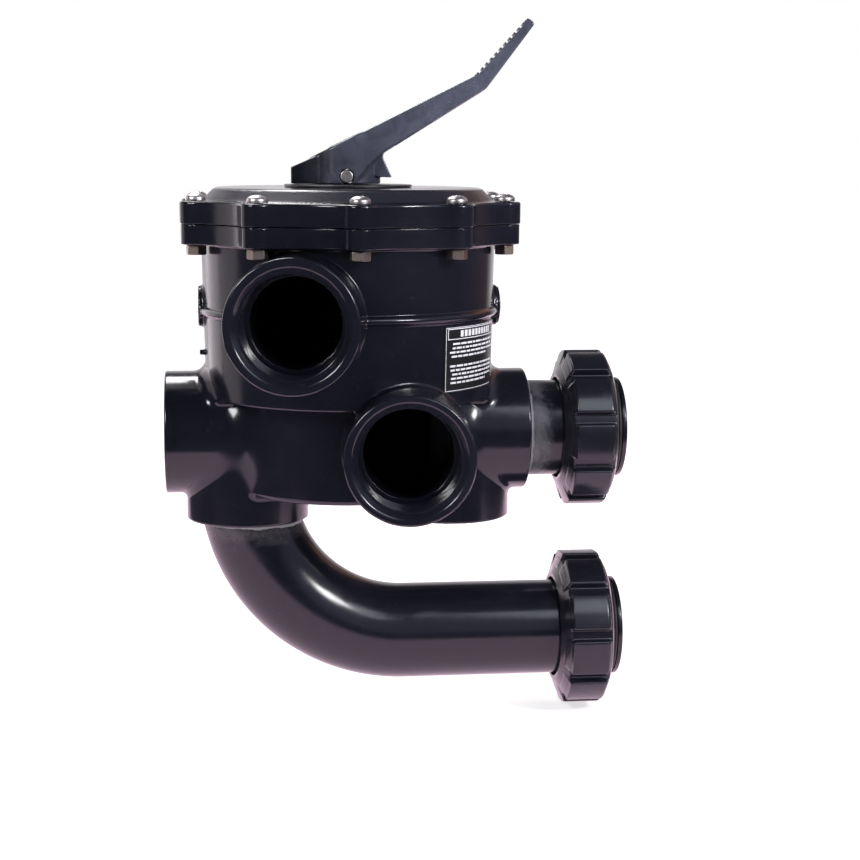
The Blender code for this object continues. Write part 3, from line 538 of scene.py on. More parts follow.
def handle_field(p):
    x, y, z = p
    c, s_ = cos(HANDLE_YAW), sin(HANDLE_YAW)
    u = (x - AX) * c + y * s_
    w = -(x - AX) * s_ + y * c
    v = z - PIN_Z
    ay = np.abs(w)
    foot = -(PIN_Z - (217.1 + 0.15 + 1.5 + 0.45))
    # heel: a block that runs into the barrel
    heel = soft_poly(u, v, [(-34.4, foot + 0.3), (-33.2, foot), (-4.0, foot), (-4.0, 15.8), (-11.0, 15.8), (-34.4, 5.5)], 0.8)
    f = f_both(heel, ay - 13.6 - 0.0 * u, 1.2)
    # barrel round the pin, cut along the lever's slope
    q = np.hypot(u + 2.4, w / 0.82)
    g = np.hypot((u + 2.4) / np.maximum(q, 1e-6), w / 0.6724 / np.maximum(q, 1e-6))
    barrel = (q - 22.3) / np.maximum(g, 0.5)
    top = ((v - 5.4) - (u + 35.8) * 0.462) * 0.908
    barrel = f_both(barrel, np.maximum(np.maximum(foot - v, v - 25), top), 1.2)
    f = f_union(f, barrel, 0.7)
    fin = soft_poly(u, v, [(12.0, 2.0), (19.8, -0.4), (26.8, -0.6), (19.4, 15.5), (12.0, 13.0)], 0.3)
    f = f_union(f, f_both(fin, ay - 10.0, 0.4), 0.6)
    # lever
    width = 17.7 - 5.9 * np.clip((u - 12.0) / 98.0, 0, 1)
    arm = soft_poly(u, v, [(-9.6, 4.0), (-2.0, -2.6), (5.2, -1.4), (20.6, 13.4), (84.5, 53.2), (89.6, 59.9), (113.6, 92.0), (109.0, 95.6),
                           (80.0, 64.0), (77.0, 60.6), (6.0, 24.9), (-9.6, 16.8)], 1.9)
    under = np.where(u < 84.5, 13.4 + (u - 20.6) * 0.623, 53.2 + (u - 84.5) * 1.318)
    lever = f_both(arm, ay - width + np.clip(v - under, 0.0, 20.0) * 0.09, 1.5)
    # ribs across the grip
    ex, ez = 108.8 - 80.0, 95.3 - 64.0
    ln = hypot(ex, ez)
    tx, tz = ex / ln, ez / ln
    s = (u - 80.0) * tx + (v - 64.0) * tz
    up = (u - 80.0) * (-tz) + (v - 64.0) * tx                # height above the grip's top line
    pitch = 4.05
    k = np.clip(np.round((s - 0.2) / pitch), 0, 9)
    local = s - 0.2 - k * pitch
    groove = np.maximum(np.abs(local) - 1.15 + np.minimum(up, 0) * 0.35, -up - 1.25)
    lever = f_cut(lever, groove, 0.55)
    f = f_union(f, lever, 3.2)
    chan = poly_field(u, v, [(28.0, 5.0), (88.5, 39.7), (80.0, 54.4), (30.0, 29.8)])
    f = f_cut(f, f_both(chan, ay - (width - 3.4), 1.5), 1.0)
    # slot for the stem and the pin hole
    slot = np.maximum(ay - 8.6, np.where(v < 0, np.abs(u) - 13.4, np.hypot(u, v) - 13.4))
    f = f_cut(f, slot, 0.4)
    ring = np.hypot(u, v)
    f = f_cut(f, ring - 4.55, 0.35)
    return f_both(f, foot - v, 0.6)


def nut_field(p, turn):
    """Union nut about the X axis through the origin."""
    x, y, z = p
    r = np.hypot(y, z)
    core = segment_profile(r, x, [(31.9, -40.4), (34.2, -40.4), (44.3, -35.6), (44.3, -9.4), (40.6, -7.6), (39.0, -7.6), (39.0, -27.0), (31.9, -27.0)])
    pad = segment_profile(r, x, [(40.0, -37.4), (49.5, -34.6), (49.5, -12.6), (48.3, -11.2), (40.0, -8.4)])
    step = 2 * pi / 10
    a = np.arctan2(y, z) - turn
    a = np.abs(a - step * np.round(a / step))
    side = r * np.sin(np.clip(a - radians(14.2), -pi / 2, pi / 2)) + 0.4
    pads = f_both(pad, side, 1.5)
    f = f_union(core, pads, 1.3)
    f = f_both(f, r - 49.5, 0.9)
    return np.where(r < 30, 5.0, f)


def screw_head_field(p):
    """Pan head with a cross recess, its underside at z = 0."""
    x, y, z = p
    r = np.hypot(x, y)
    dome = np.hypot(r, z + 5.2) - 9.8
    f = f_both(f_both(r - 6.2, -z, 0.25), dome, 0.9)
    a = np.maximum(np.abs(x) - 0.75, np.abs(y) - 3.3 + (4.6 - z) * 0.45)
    b = np.maximum(np.abs(y) - 0.75, np.abs(x) - 3.3 + (4.6 - z) * 0.45)
    cross = np.maximum(np.minimum(a, b), 2.2 - z)
    return f_cut(f, cross, 0.2)


def hex_field(p, r_in, h):
    """Hexagon nut with chamfered corners from z = -h to 0."""
    x, y, z = p
    r = np.hypot(x, y)
    a = np.arctan2(y, x)
    a = a - radians(60) * np.round(a / radians(60))
    flat = r * np.cos(a) - 11.1 / 2
    f = f_both(flat, np.maximum(z, -h - z), 0.25)
    cham = (r - 6.2 + np.maximum(z + 0.55, -h + 0.55 - z)) * 0.75
    f = f_both(f, cham, 0.2)
    return f_cut(f, r - r_in, 0.25)


# ---------------------------------------------------------------- swept and turned pieces
def thread_insert(name, face, axis):
    """Threaded lining of a port: helical inner surface, plain outer skin inside the wall."""
    pitch, segs = 2.9, 168
    inner = []
    h0, h1, dh = -THREAD_DEEP + 0.2, -3.1, 0.13
    n = int((h1 - h0) / dh)
    for i in range(n + 1):
        inner.append((29.9, h0 + (h1 - h0) * i / n))
    prof = inner + [(31.6, h1), (31.6, h0)]

    def wobble(t, h):
        u = (h / pitch + t / (2 * pi)) % 1.0
        # flat crest, steep flank, flat root, steep flank
        groove = 0.0 if u < 0.27 else (u - 0.27) / 0.23 if u < 0.5 else 1.0 if u < 0.77 else (1.0 - u) / 0.23
        fade = min(1.0, (h1 - h) / 1.2 + 0.15)
        return (1.15 * groove - 0.25) * fade + 0.010 * h
    bm_prof = []
    for r, h in prof:
        bm_prof.append((r, h))
    a = Vector(axis).normalized()
    ref = Vector((0, 0, 1))
    u = ref.cross(a).normalized()
    v = a.cross(u)
    base = Vector(face)
    rows = []
    for r, h in bm_prof:
        row = []
        for k in range(segs):
            t = 2 * pi * k / segs
            rr = r + (wobble(t, h) if r < 31 else 0.0)
            row.append(base + a * h + (u * cos(t) + v * sin(t)) * rr)
        rows.append(row)
    pos = np.array([[tuple(q) for q in row] for row in rows]).reshape(-1, 3)
    m = len(rows)
    i, k = np.meshgrid(np.arange(m), np.arange(segs), indexing="ij")
    i2, k2 = (i + 1) % m, (k + 1) % segs
    quads = np.stack([i * segs + k, i2 * segs + k, i2 * segs + k2, i * segs + k2], -1).reshape(-1, 4)
    ob = mesh_object(name, pos, quads)
    me = ob.data
    # outward check on the inner skin: its normals point to the axis
    c = me.polygons[segs * (n // 2)]
    d = Vector(c.center) / MM - base
    d -= a * d.dot(a)
    if Vector(c.normal).dot(d) > 0:
        me.flip_normals()
    me.set_sharp_from_angle(angle=radians(60))
    return ob


def bead(name, ring, size, seed, lift=0.0, down=(0, 0, -1), segs=220):
    """Irregular fillet of cement: ring(t) gives a point on the joint and the direction outwards."""
    rnd = np.random.RandomState(seed)
    amp = [(rnd.uniform(-1, 1), rnd.uniform(0, 2 * pi), f) for f in (2, 3, 5, 7, 11, 17, 23, 37, 53)]
    amp2 = [(rnd.uniform(-1, 1), rnd.uniform(0, 2 * pi), f) for f in (3, 4, 6, 9, 13, 19, 29, 41)]
    dn = Vector(down).normalized()
    side = 9
    bm = bmesh.new()
    rows = []
    for k in range(segs):
        t = 2 * pi * k / segs
        g = sum(a * sin(f * t + ph) / (f ** 0.55) for a, ph, f in amp) * 0.28
        q = sum(a * sin(f * t + ph) / (f ** 0.5) for a, ph, f in amp2) * 0.28
        w = size * max(0.35, 1.0 + g)
        e = size * max(0.4, 1.15 + q)
        p, out = ring(t)
        row = []
        for j in range(side):
            s = pi * j / (side - 1)
            # a low mound leaning on both surfaces
            row.append(bm.verts.new(p + dn * (lift + e * (0.5 - 0.5 * cos(s)) * 1.35) + out * (w * sin(s) * 0.55 * (1 - 0.35 * j / side) - 0.5 * (1 if j in (0, side - 1) else 0))))
        row.append(bm.verts.new(p + dn * (lift + e * 0.6) - out * 1.2))
        rows.append(row)
    n = side + 1
    for k in range(segs):
        a, b = rows[k], rows[(k + 1) % segs]
        for j in range(n):
            m = (j + 1) % n
            bm.faces.new((a[j], b[j], b[m], a[m]))
    return bm_object(name, bm, 75)


def union_tail_profile(x0):
    """Rounded outline of a union tail from the pipe at x0 to the sealing face at 0."""
    pts = [(30.15, x0), (30.15, -28.6), (32.0, -26.5), (38.4, -26.5), (38.4, -19.5), (31.6, -19.5), (31.6, -6.0),
           (29.5, -6.0), (29.5, -3.0), (31.6, -3.0), (31.6, 0.0), (26.2, 0.0), (26.2, x0)]
    rad = [0.4, 2.5, 0.6, 0.8, 0.8, 0.5, 0.3, 0.3, 0.3, 0.3, 1.0, 0.9, 0.4]
    return smooth_profile(pts, rad, 5)


def elbow(name):
    """Quarter sweep, straight run and sealing end in one closed tube, cut flat under the hub."""
    xc, zc = AX - DOWN_X + ELBOW_R, UZ + ELBOW_R
    segs = 144
    end = union_tail_profile(xc)
    outer = [q for q in end if q[0] > 26.21 and q[1] > xc - 1]
    # walk the straight end as one outline, then add the sweep on both skins
    rows = []

    def straight(r, x):
        return [(x, r * sin(w), UZ - r * cos(w)) for w in (2 * pi * j / segs for j in range(segs))]

    def swept(r, f):
        c = Vector((xc - ELBOW_R * sin(f), 0, zc - ELBOW_R * cos(f)))
        n = Vector((-sin(f), 0, -cos(f)))
        return [tuple(c + n * (r * cos(w)) + Vector((0, r * sin(w), 0))) for w in (2 * pi * j / segs for j in range(segs))]
    steps = 56
    for k in range(steps, 0, -1):
        rows.append(swept(30.15, radians(90) * k / steps))
    xs = np.linspace(xc, -31.5, 14)
    for x in xs:
        rows.append(straight(30.15, x))
    prof = [q for q in end]
    # outline points past the straight run, in order from the outside to the bore
    run = [q for q in prof if q[1] > -31.0]
    for r, x in run:
        rows.append(straight(r, x))
    for x in xs[::-1]:
        rows.append(straight(26.2, x))
    for k in range(1, steps + 1):
        rows.append(swept(26.2 - 0.6 * min(1, k / 6), radians(90) * k / steps))
    bm = bmesh.new()
    vr = [[bm.verts.new(q) for q in row] for row in rows]
    m = len(vr)
    for i in range(m):
        a, b = vr[i], vr[(i + 1) % m]
        for j in range(segs):
            k = (j + 1) % segs
            bm.faces.new((a[j], b[j], b[k], a[k]))
    rim = DOWN_Z - 0.3
    geom = bm.verts[:] + bm.edges[:] + bm.faces[:]
    res = bmesh.ops.bisect_plane(bm, geom=geom, plane_co=(0, 0, rim), plane_no=(0, 0, 1), clear_outer=True)
    cut = [e for e in res["geom_cut"] if isinstance(e, bmesh.types.BMEdge)]
    bmesh.ops.bridge_loops(bm, edges=cut)
    # spigot in the socket of the hub
    cx = AX - DOWN_X
    prof = smooth_profile([(30.2, rim - 0.2), (30.2, DOWN_Z + 26.4), (25.9, DOWN_Z + 26.4), (25.9, rim - 0.2)], [0.2, 1.0, 0.5, 0.2], 3)
    sp = []
    for r, z in prof:
        sp.append([bm.verts.new((cx + r * cos(2 * pi * j / 96), r * sin(2 * pi * j / 96), z)) for j in range(96)])
    for i in range(len(sp)):
        a, b = sp[i], sp[(i + 1) % len(sp)]
        for j in range(96):
            k = (j + 1) % 96
            bm.faces.new((a[j], a[k], b[k], b[j]))
    return bm_object(name, bm, 34)


def torus(name, centre, axis, big, small, segs=120, ring=20):
    prof = [(big + small * cos(2 * pi * j / ring), small * sin(2 * pi * j / ring)) for j in range(ring)]
    return lathe(name, prof, centre, axis, segs, sharp=80)


def joined_copies(name, pos, quads, nor, spots):
    """Copies of one mesh at (x, y, z, turn) spots, as one object."""
    ps, qs, ns = [], [], []
    for i, (x, y, z, t) in enumerate(spots):
        c, s = cos(t), sin(t)
        m = np.array([[c, -s, 0], [s, c, 0], [0, 0, 1]])
        ps.append(pos @ m.T + np.array([x, y, z]))
        ns.append(nor @ m.T)
        qs.append(quads + i * len(pos))
    return mesh_object(name, np.concatenate(ps), np.concatenate(qs), np.concatenate(ns))


def drum_r(z):
    """Radius of the upper drum between its lower rim and the ridge."""
    return 88.8 + (z - 89.2) * 0.0206


def drum_patch(bm, a0, a1, z0, z1, off, thick, steps=None):
    """Curved slab on the upper drum between two angles (degrees from the front) and two heights."""
    steps = steps or max(2, int(abs(a1 - a0) / 1.2))
    cols = []
    for k in range(steps + 1):
        t = radians(a0 + (a1 - a0) * k / steps) - pi / 2
        ring = []
        for r, z in ((drum_r(z0) + off, z0), (drum_r(z0) + off + thick, z0), (drum_r(z1) + off + thick, z1), (drum_r(z1) + off, z1)):
            ring.append(bm.verts.new((AX + r * cos(t), r * sin(t), z)))
        cols.append(ring)
    for a, b in zip(cols, cols[1:]):
        for i in range(4):
            j = (i + 1) % 4
            bm.faces.new((a[i], a[j], b[j], b[i]))
    bm.faces.new(cols[0][::-1])
    bm.faces.new(cols[-1])


# ---------------------------------------------------------------- materials
def new_material(name):
    mat = bpy.data.materials.new(name)
    mat.use_nodes = True
    nt = mat.node_tree
    nt.nodes.clear()
    out = nt.nodes.new("ShaderNodeOutputMaterial")
    bsdf = nt.nodes.new("ShaderNodeBsdfPrincipled")
    nt.links.new(bsdf.outputs[0], out.inputs[0])
    coord = nt.nodes.new("ShaderNodeTexCoord")
    return mat, nt, bsdf, coord.outputs["Object"]


def noise(nt, vec, scale, detail=4.0, rough=0.55, distort=0.0):
    n = nt.nodes.new("ShaderNodeTexNoise")
    n.inputs["Scale"].default_value = scale
    n.inputs["Detail"].default_value = detail
    n.inputs["Roughness"].default_value = rough
    n.inputs["Distortion"].default_value = distort
    nt.links.new(vec, n.inputs["Vector"])
    return n.outputs["Fac"]


def ramp(nt, fac, stops):
    r = nt.nodes.new("ShaderNodeValToRGB")
    els = r.color_ramp.elements
    while len(els) < len(stops):
        els.new(0.5)
    for e, (p, c) in zip(els, stops):
        e.position = p
        e.color = (c, c, c, 1) if isinstance(c, (int, float)) else (*c, 1)
    nt.links.new(fac, r.inputs["Fac"])
    return r.outputs["Color"]


def span(nt, fac, a, b, c=0.0, d=1.0, smooth=False):
    m = nt.nodes.new("ShaderNodeMapRange")
    m.interpolation_type = "SMOOTHSTEP" if smooth else "LINEAR"
    m.clamp = True
    nt.links.new(fac, m.inputs[0])
    for i, v in zip((1, 2, 3, 4), (a, b, c, d)):
        m.inputs[i].default_value = v
    return m.outputs[0]


def math2(nt, op, a, b=None):
    m = nt.nodes.new("ShaderNodeMath")
    m.operation = op
    for i, v in enumerate((a, b)):
        if v is None:
            continue
        if isinstance(v, (int, float)):
            m.inputs[i].default_value = v
        else:
            nt.links.new(v, m.inputs[i])
    return m.outputs[0]


def mix_colour(nt, fac, a, b):
    m = nt.nodes.new("ShaderNodeMix")
    m.data_type = "RGBA"
    nt.links.new(fac, m.inputs[0])
    for i, v in ((6, a), (7, b)):
        if isinstance(v, tuple):
            m.inputs[i].default_value = (*v, 1)
        else:
            nt.links.new(v, m.inputs[i])
    return m.outputs[2]


def bump(nt, bsdf, layers):
    """Stacked bumps: (height, strength, distance in m)."""
    last = None
    for h, s, d in layers:
        b = nt.nodes.new("ShaderNodeBump")
        b.inputs["Strength"].default_value = s
        b.inputs["Distance"].default_value = d
        nt.links.new(h, b.inputs["Height"])
        if last is not None:
            nt.links.new(last, b.inputs["Normal"])
        last = b.outputs[0]
    nt.links.new(last, bsdf.inputs["Normal"])


def moulded(name, colour, rough, spread=0.08, wave=0.25, dust=0.5, grain=0.0, tint=(0.05, 0.05, 0.055), cement_and_painted_shade=None, pebble=None, inner=None):
    """Black moulded plastic: cloudy gloss, faint dust, slow waviness, optional grain, a hook for cement smears and
    painted shade, a pebbled band, and painted shade inside the chambers.
    """
    mat, nt, bsdf, vec = new_material(name)
    big = noise(nt, vec, 14.0, 5.0, 0.6, 0.4)
    mid = noise(nt, vec, 70.0, 6.0, 0.65, 0.2)
    fine = noise(nt, vec, 900.0, 3.0, 0.6)
    r1 = span(nt, big, 0.3, 0.7, rough - spread * 0.5, rough + spread * 0.5)
    r2 = span(nt, mid, 0.45, 0.75, 0.0, spread)
    r = math2(nt, "ADD", r1, r2)
    # rubbed marks: long thin streaks round the piece
    mp = nt.nodes.new("ShaderNodeMapping")
    mp.inputs["Scale"].default_value = (1.0, 1.0, 9.0)
    mp.inputs["Rotation"].default_value = (0.15, 0.1, 0.0)
    nt.links.new(vec, mp.inputs["Vector"])
    scr = noise(nt, mp.outputs[0], 60.0, 8.0, 0.75, 0.6)
    r = math2(nt, "ADD", r, span(nt, scr, 0.58, 0.72, 0.0, 0.10))
    speck = noise(nt, vec, 420.0, 2.0, 0.5)
    dustm = math2(nt, "MULTIPLY", span(nt, speck, 0.66, 0.72), span(nt, mid, 0.5, 0.7))
    dustm = math2(nt, "MULTIPLY", dustm, dust)
    col = mix_colour(nt, span(nt, big, 0.35, 0.7, 0.0, 0.6), colour, tuple(c * 1.7 for c in colour))
    col = mix_colour(nt, dustm, col, tint)
    layers = [(big, wave, 0.0006), (fine, 0.05 + grain, 0.00006)]
    if pebble is not None:
        sep = nt.nodes.new("ShaderNodeSeparateXYZ")
        nt.links.new(vec, sep.inputs[0])
        z0, z1 = pebble
        inside = math2(nt, "MULTIPLY", span(nt, sep.outputs[2], z0, z0 + 0.0006), span(nt, sep.outputs[2], z1 - 0.0005, z1, 1.0, 0.0))
        vor = nt.nodes.new("ShaderNodeTexVoronoi")
        vor.inputs["Scale"].default_value = 1050.0
        nt.links.new(vec, vor.inputs["Vector"])
        cell = span(nt, vor.outputs["Distance"], 0.0, 0.75, 1.0, 0.0)
        h = math2(nt, "MULTIPLY", cell, inside)
        layers.append((h, 0.62, 0.00022))
        r = math2(nt, "ADD", r, math2(nt, "MULTIPLY", inside, 0.16))
        col = mix_colour(nt, math2(nt, "MULTIPLY", inside, 0.6), col, tuple(c * 2.0 + 0.008 for c in colour))
    # hook for cement smears and for painted shade on a surface
    if cement_and_painted_shade is not None:
        col, r = cement_and_painted_shade(nt, vec, col, r)
    if inner is not None:
        # painted shade inside the chambers: their colour is darkened to stand for the shade there, and the surface is
        # made dull and rougher
        sep2 = nt.nodes.new("ShaderNodeSeparateXYZ")
        nt.links.new(vec, sep2.inputs[0])
        px = math2(nt, "SUBTRACT", sep2.outputs[0], inner[0])
        rr = math2(nt, "SQRT", math2(nt, "ADD", math2(nt, "MULTIPLY", px, px), math2(nt, "MULTIPLY", sep2.outputs[1], sep2.outputs[1])))
        low = math2(nt, "MULTIPLY", span(nt, rr, inner[1], inner[1] + 0.004, 1.0, 0.0), span(nt, sep2.outputs[2], inner[2] - 0.001, inner[2] + 0.001))
        low = math2(nt, "MULTIPLY", low, span(nt, sep2.outputs[2], inner[3] - 0.001, inner[3] + 0.001, 1.0, 0.0))
        high = math2(nt, "MULTIPLY", span(nt, rr, inner[4], inner[4] + 0.002, 1.0, 0.0), span(nt, sep2.outputs[2], inner[3] - 0.002, inner[3]))
        m = math2(nt, "MAXIMUM", low, high)
        # painted shade: near-black colour inside the chambers
        col = mix_colour(nt, m, col, (0.002, 0.002, 0.002))
        r = math2(nt, "ADD", r, math2(nt, "MULTIPLY", m, 0.75))
    nt.links.new(col, bsdf.inputs["Base Color"])
    nt.links.new(r, bsdf.inputs["Roughness"])
    bump(nt, bsdf, layers)
    return mat


def smear_along(axis, centre, width, amount=0.8, colour=(0.20, 0.20, 0.20), seed=0.0, scale=45.0):
    """Dried cement over a band of one coordinate, broken up by noise."""
    def apply(nt, vec, col, r):
        sep = nt.nodes.new("ShaderNodeSeparateXYZ")
        nt.links.new(vec, sep.inputs[0])
        mp = nt.nodes.new("ShaderNodeMapping")
        mp.inputs["Location"].default_value = (seed, seed * 0.7, seed * 1.3)
        nt.links.new(vec, mp.inputs["Vector"])
        n1 = noise(nt, mp.outputs[0], scale, 7.0, 0.7, 1.2)
        n2 = noise(nt, mp.outputs[0], scale * 5, 4.0, 0.6)
        d = math2(nt, "ABSOLUTE", math2(nt, "SUBTRACT", sep.outputs[axis], centre))
        d = math2(nt, "SUBTRACT", d, span(nt, n1, 0.25, 0.8, -width * 0.45, width * 0.75))
        m = span(nt, d, -width * 0.25, width * 0.75, 1.0, 0.0, True)
        m = math2(nt, "MULTIPLY", m, span(nt, n2, 0.25, 0.75, 0.55, 1.0))
        m = math2(nt, "MULTIPLY", m, amount)
        col = mix_colour(nt, m, col, colour)
        r = math2(nt, "ADD", r, math2(nt, "MULTIPLY", m, 0.35))
        return col, r
    return apply


def metal(name, colour, rough, stain=(0.30, 0.22, 0.15), stain_amount=0.25, brushed=0.0):
    mat, nt, bsdf, vec = new_material(name)
    bsdf.inputs["Metallic"].default_value = 1.0
    a = noise(nt, vec, 180.0, 6.0, 0.65, 0.5)
    b = noise(nt, vec, 1500.0, 4.0, 0.7)
    col = mix_colour(nt, span(nt, a, 0.45, 0.72, 0.0, stain_amount), colour, stain)
    r = math2(nt, "ADD", span(nt, a, 0.3, 0.7, rough - 0.06, rough + 0.1), span(nt, b, 0.4, 0.7, 0.0, 0.08))
    nt.links.new(col, bsdf.inputs["Base Color"])
    nt.links.new(r, bsdf.inputs["Roughness"])
    bump(nt, bsdf, [(a, 0.15, 0.0002), (b, 0.25 + brushed, 0.00004)])
    return mat


def rubber(name, colour):
    mat, nt, bsdf, vec = new_material(name)
    a = noise(nt, vec, 120.0, 5.0, 0.6)
    b = noise(nt, vec, 1400.0, 3.0, 0.6)
    nt.links.new(mix_colour(nt, span(nt, a, 0.4, 0.7, 0.0, 0.5), colour, tuple(c * 2.2 for c in colour)), bsdf.inputs["Base Color"])
    nt.links.new(span(nt, a, 0.3, 0.7, 0.42, 0.62), bsdf.inputs["Roughness"])
    bump(nt, bsdf, [(b, 0.2, 0.00005)])
    return mat


def handle_painted_shade(nt, vec, col, r):
    """Painted shade and sheen on the lever: the arm keeps a lighter grey that stands for its sheen, while the colour is
    darkened as painted shade round the heel and barrel and towards the grip; the heel and barrel also stay glossy.
    """
    sep = nt.nodes.new("ShaderNodeSeparateXYZ")
    nt.links.new(vec, sep.inputs[0])
    # painted shade: the colour darkens towards the heel and barrel
    a = span(nt, sep.outputs[0], (AX - 32.0) * MM, (AX - 2.0) * MM, 0.10, 1.0, True)
    # painted shade: the colour darkens towards the grip at the top
    b = span(nt, sep.outputs[2], 0.262, 0.335, 1.0, 0.72, True)
    f = math2(nt, "MULTIPLY", a, b)
    # mottled tone that also stands for streaky painted highlights
    c = noise(nt, vec, 55.0, 5.0, 0.6, 1.0)
    f = math2(nt, "MULTIPLY", f, span(nt, c, 0.3, 0.62, 0.62, 1.12))
    col = mix_colour(nt, f, (0.0016, 0.0017, 0.0024), col)
    r = math2(nt, "ADD", r, span(nt, f, 0.0, 1.0, -0.10, 0.04))
    return col, r


# ---------------------------------------------------------------- build
def put(ob, body, slot, mat, *nodes):
    ob.data.materials.clear()
    for m in (mat if isinstance(mat, (list, tuple)) else [mat]):
        ob.data.materials.append(m)
    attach(ob, body)
    if nodes:
        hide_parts(*nodes)
    return ob


BLACK = (0.0064, 0.0067, 0.0112)
# inner= marks the chambers that get painted shade
m_body = moulded("m_body", BLACK, 0.16, 0.07, 0.35, 0.35, inner=(AX * MM, 0.0665, 0.0360, 0.0965, 0.0838))
m_cover = moulded("m_cover", BLACK, 0.16, 0.07, 0.3, 0.4, pebble=(FLANGE_Z1 * MM + 0.0004, COVER_TOP * MM - 0.0006))
# the lever's lighter blue-grey colour partly stands for painted sheen; its tone hook darkens it as painted shade round
# the heel, barrel and grip
m_handle = moulded("m_handle", (0.054, 0.057, 0.083), 0.30, 0.10, 0.5, 0.25, grain=0.05, tint=(0.10, 0.11, 0.13), cement_and_painted_shade=handle_painted_shade)
m_plate = moulded("m_plate", (0.020, 0.020, 0.022), 0.34, 0.06, 0.2, 0.4)
m_tail = moulded("m_tail", BLACK, 0.20, 0.08, 0.3, 0.5,
                 cement_and_painted_shade=smear_along(0, (AX + HUB_RIGHT + 5.0) * MM, 0.0130, 0.72, (0.14, 0.138, 0.15), 3.1, 48.0))
m_elbow = moulded("m_elbow", BLACK, 0.17, 0.07, 0.3, 0.45,
                  cement_and_painted_shade=smear_along(2, (DOWN_Z - 5.0) * MM, 0.0120, 0.55, (0.10, 0.095, 0.10), 1.7, 50.0))
m_nut = moulded("m_nut", (0.0085, 0.0088, 0.0135), 0.19, 0.08, 0.35, 0.45)
m_steel = metal("m_steel", (0.60, 0.57, 0.57), 0.33)
m_hex = metal("m_hex", (0.36, 0.31, 0.28), 0.34, (0.26, 0.16, 0.09), 0.6)
m_wire = metal("m_wire", (0.52, 0.52, 0.53), 0.25)
m_rubber = rubber("m_rubber", (0.014, 0.014, 0.015))
m_rotor = moulded("m_rotor", (0.011, 0.011, 0.012), 0.4, 0.08, 0.3, 0.2, grain=0.1)
m_glass = moulded("m_glass", (0.010, 0.010, 0.011), 0.08, 0.03, 0.1, 0.2)
m_label = moulded("m_label", (0.010, 0.010, 0.011), 0.28, 0.05, 0.15, 0.2)
m_ink = moulded("m_ink", (0.62, 0.62, 0.64), 0.45, 0.06, 0.1, 0.2, tint=(0.4, 0.4, 0.4))
m_cement = moulded("m_cement", (0.15, 0.147, 0.155), 0.42, 0.15, 0.5, 0.5, grain=0.35, tint=(0.28, 0.275, 0.27))

# body
R = BODY_LEFT + 3
body = field_object("body_shell", body_field, (AX - HUB_LEFT - 3, -134, DOWN_Z - 3), (AX + HUB_RIGHT + 3, 111, BODY_TOP + 3), 1.0)
put(body, "root", "body_plastic", m_body, "valve_body")
put(thread_insert("top_port_thread", TOP_PORT, FACE_AXIS_TOP), "root", "body_plastic", m_body)
put(thread_insert("low_port_thread", LOW_PORT, FACE_AXIS_LOW), "root", "body_plastic", m_body)

# cover
cover = field_object("cover_shell", cover_field, (AX - 111, -111, 187), (AX + 111, 111, 220), 1.0)
put(cover, "root", "cover_plastic", m_cover, "cover")

# screws and nuts
spots = []
for i in range(BOLTS):
    t = -pi / 2 + i * 2 * pi / BOLTS
    spots.append((AX + BOLT_CIRCLE * cos(t), BOLT_CIRCLE * sin(t)))
pos, quads, nor = surface(screw_head_field, (-7, -7, -0.8), (7, 7, 5.4), 0.34, 8)
heads = joined_copies("screw_heads", pos, quads, nor, [(x, y, FLANGE_Z1 + 0.35, radians(17 + 41 * i)) for i, (x, y) in enumerate(spots)])
put(heads, "root", "stainless_steel", m_steel, *["cover_screw_%02d" % (i + 1) for i in range(BOLTS)])
for i, (x, y) in enumerate(spots):
    prof = smooth_profile([(0.0, 177.2), (3.0, 177.2), (3.0, FLANGE_Z1 + 0.5), (0.0, FLANGE_Z1 + 0.5)], [0, 0.5, 0, 0], 2)
    put(lathe("screw_shank_%02d" % (i + 1), prof, (x, y, 0), (0, 0, 1), 24), "root", "stainless_steel", m_steel)
pos, quads, nor = surface(lambda p: hex_field(p, 3.1, 5.8), (-7.2, -7.2, -6.6), (7.2, 7.2, 0.8), 0.36, 8)
hexes = joined_copies("hex_nuts", pos, quads, nor, [(x, y, FLANGE_Z0 - 0.35, radians(8 + 23 * i)) for i, (x, y) in enumerate(spots)])
put(hexes, "root", "plated_nut_steel", m_hex, *["cover_nut_%02d" % (i + 1) for i in range(BOLTS)])

# wear plate under the handle
prof = smooth_profile([(12.5, PLATE_Z0), (PLATE_R, PLATE_Z0), (PLATE_R, PLATE_Z1), (12.5, PLATE_Z1)], 0.4, 4)
put(lathe("plate_disc", prof, (AX, 0, 0), (0, 0, 1), 160), "root", "wear_plate_plastic", m_plate, "wear_plate")

# handle and its pin
handle = field_object("lever_handle", handle_field, (AX - 39, -29, 216), (AX + 116, 23, 325), 0.62)
put(handle, "handle", "handle_plastic", m_handle, "handle")
prof = smooth_profile([(0.0, -PIN_HALF), (4.0, -PIN_HALF), (4.0, PIN_HALF), (0.0, PIN_HALF)], [0, 0.8, 0.8, 0], 5)
put(lathe("pivot_pin", prof, (AX, 0, PIN_Z), (-sin(HANDLE_YAW), cos(HANDLE_YAW), 0), 64), "rotor", "stainless_steel", m_steel, "handle_pin")

# union nuts
for name, node, z, turn, rider in (("upper_coupling", "upper_union_nut", PZ, radians(14.5), "upper_nut"),
                                   ("lower_coupling", "lower_union_nut", UZ, radians(7.0), "lower_nut")):
    pos, quads, nor = surface(lambda p, t=turn: nut_field(p, t), (-44, -52, -52), (-4, 52, 52), 0.8)
    ob = mesh_object(name, pos + np.array([0, 0, z]), quads, nor)
    put(ob, rider, "union_nut_plastic", m_nut, node)

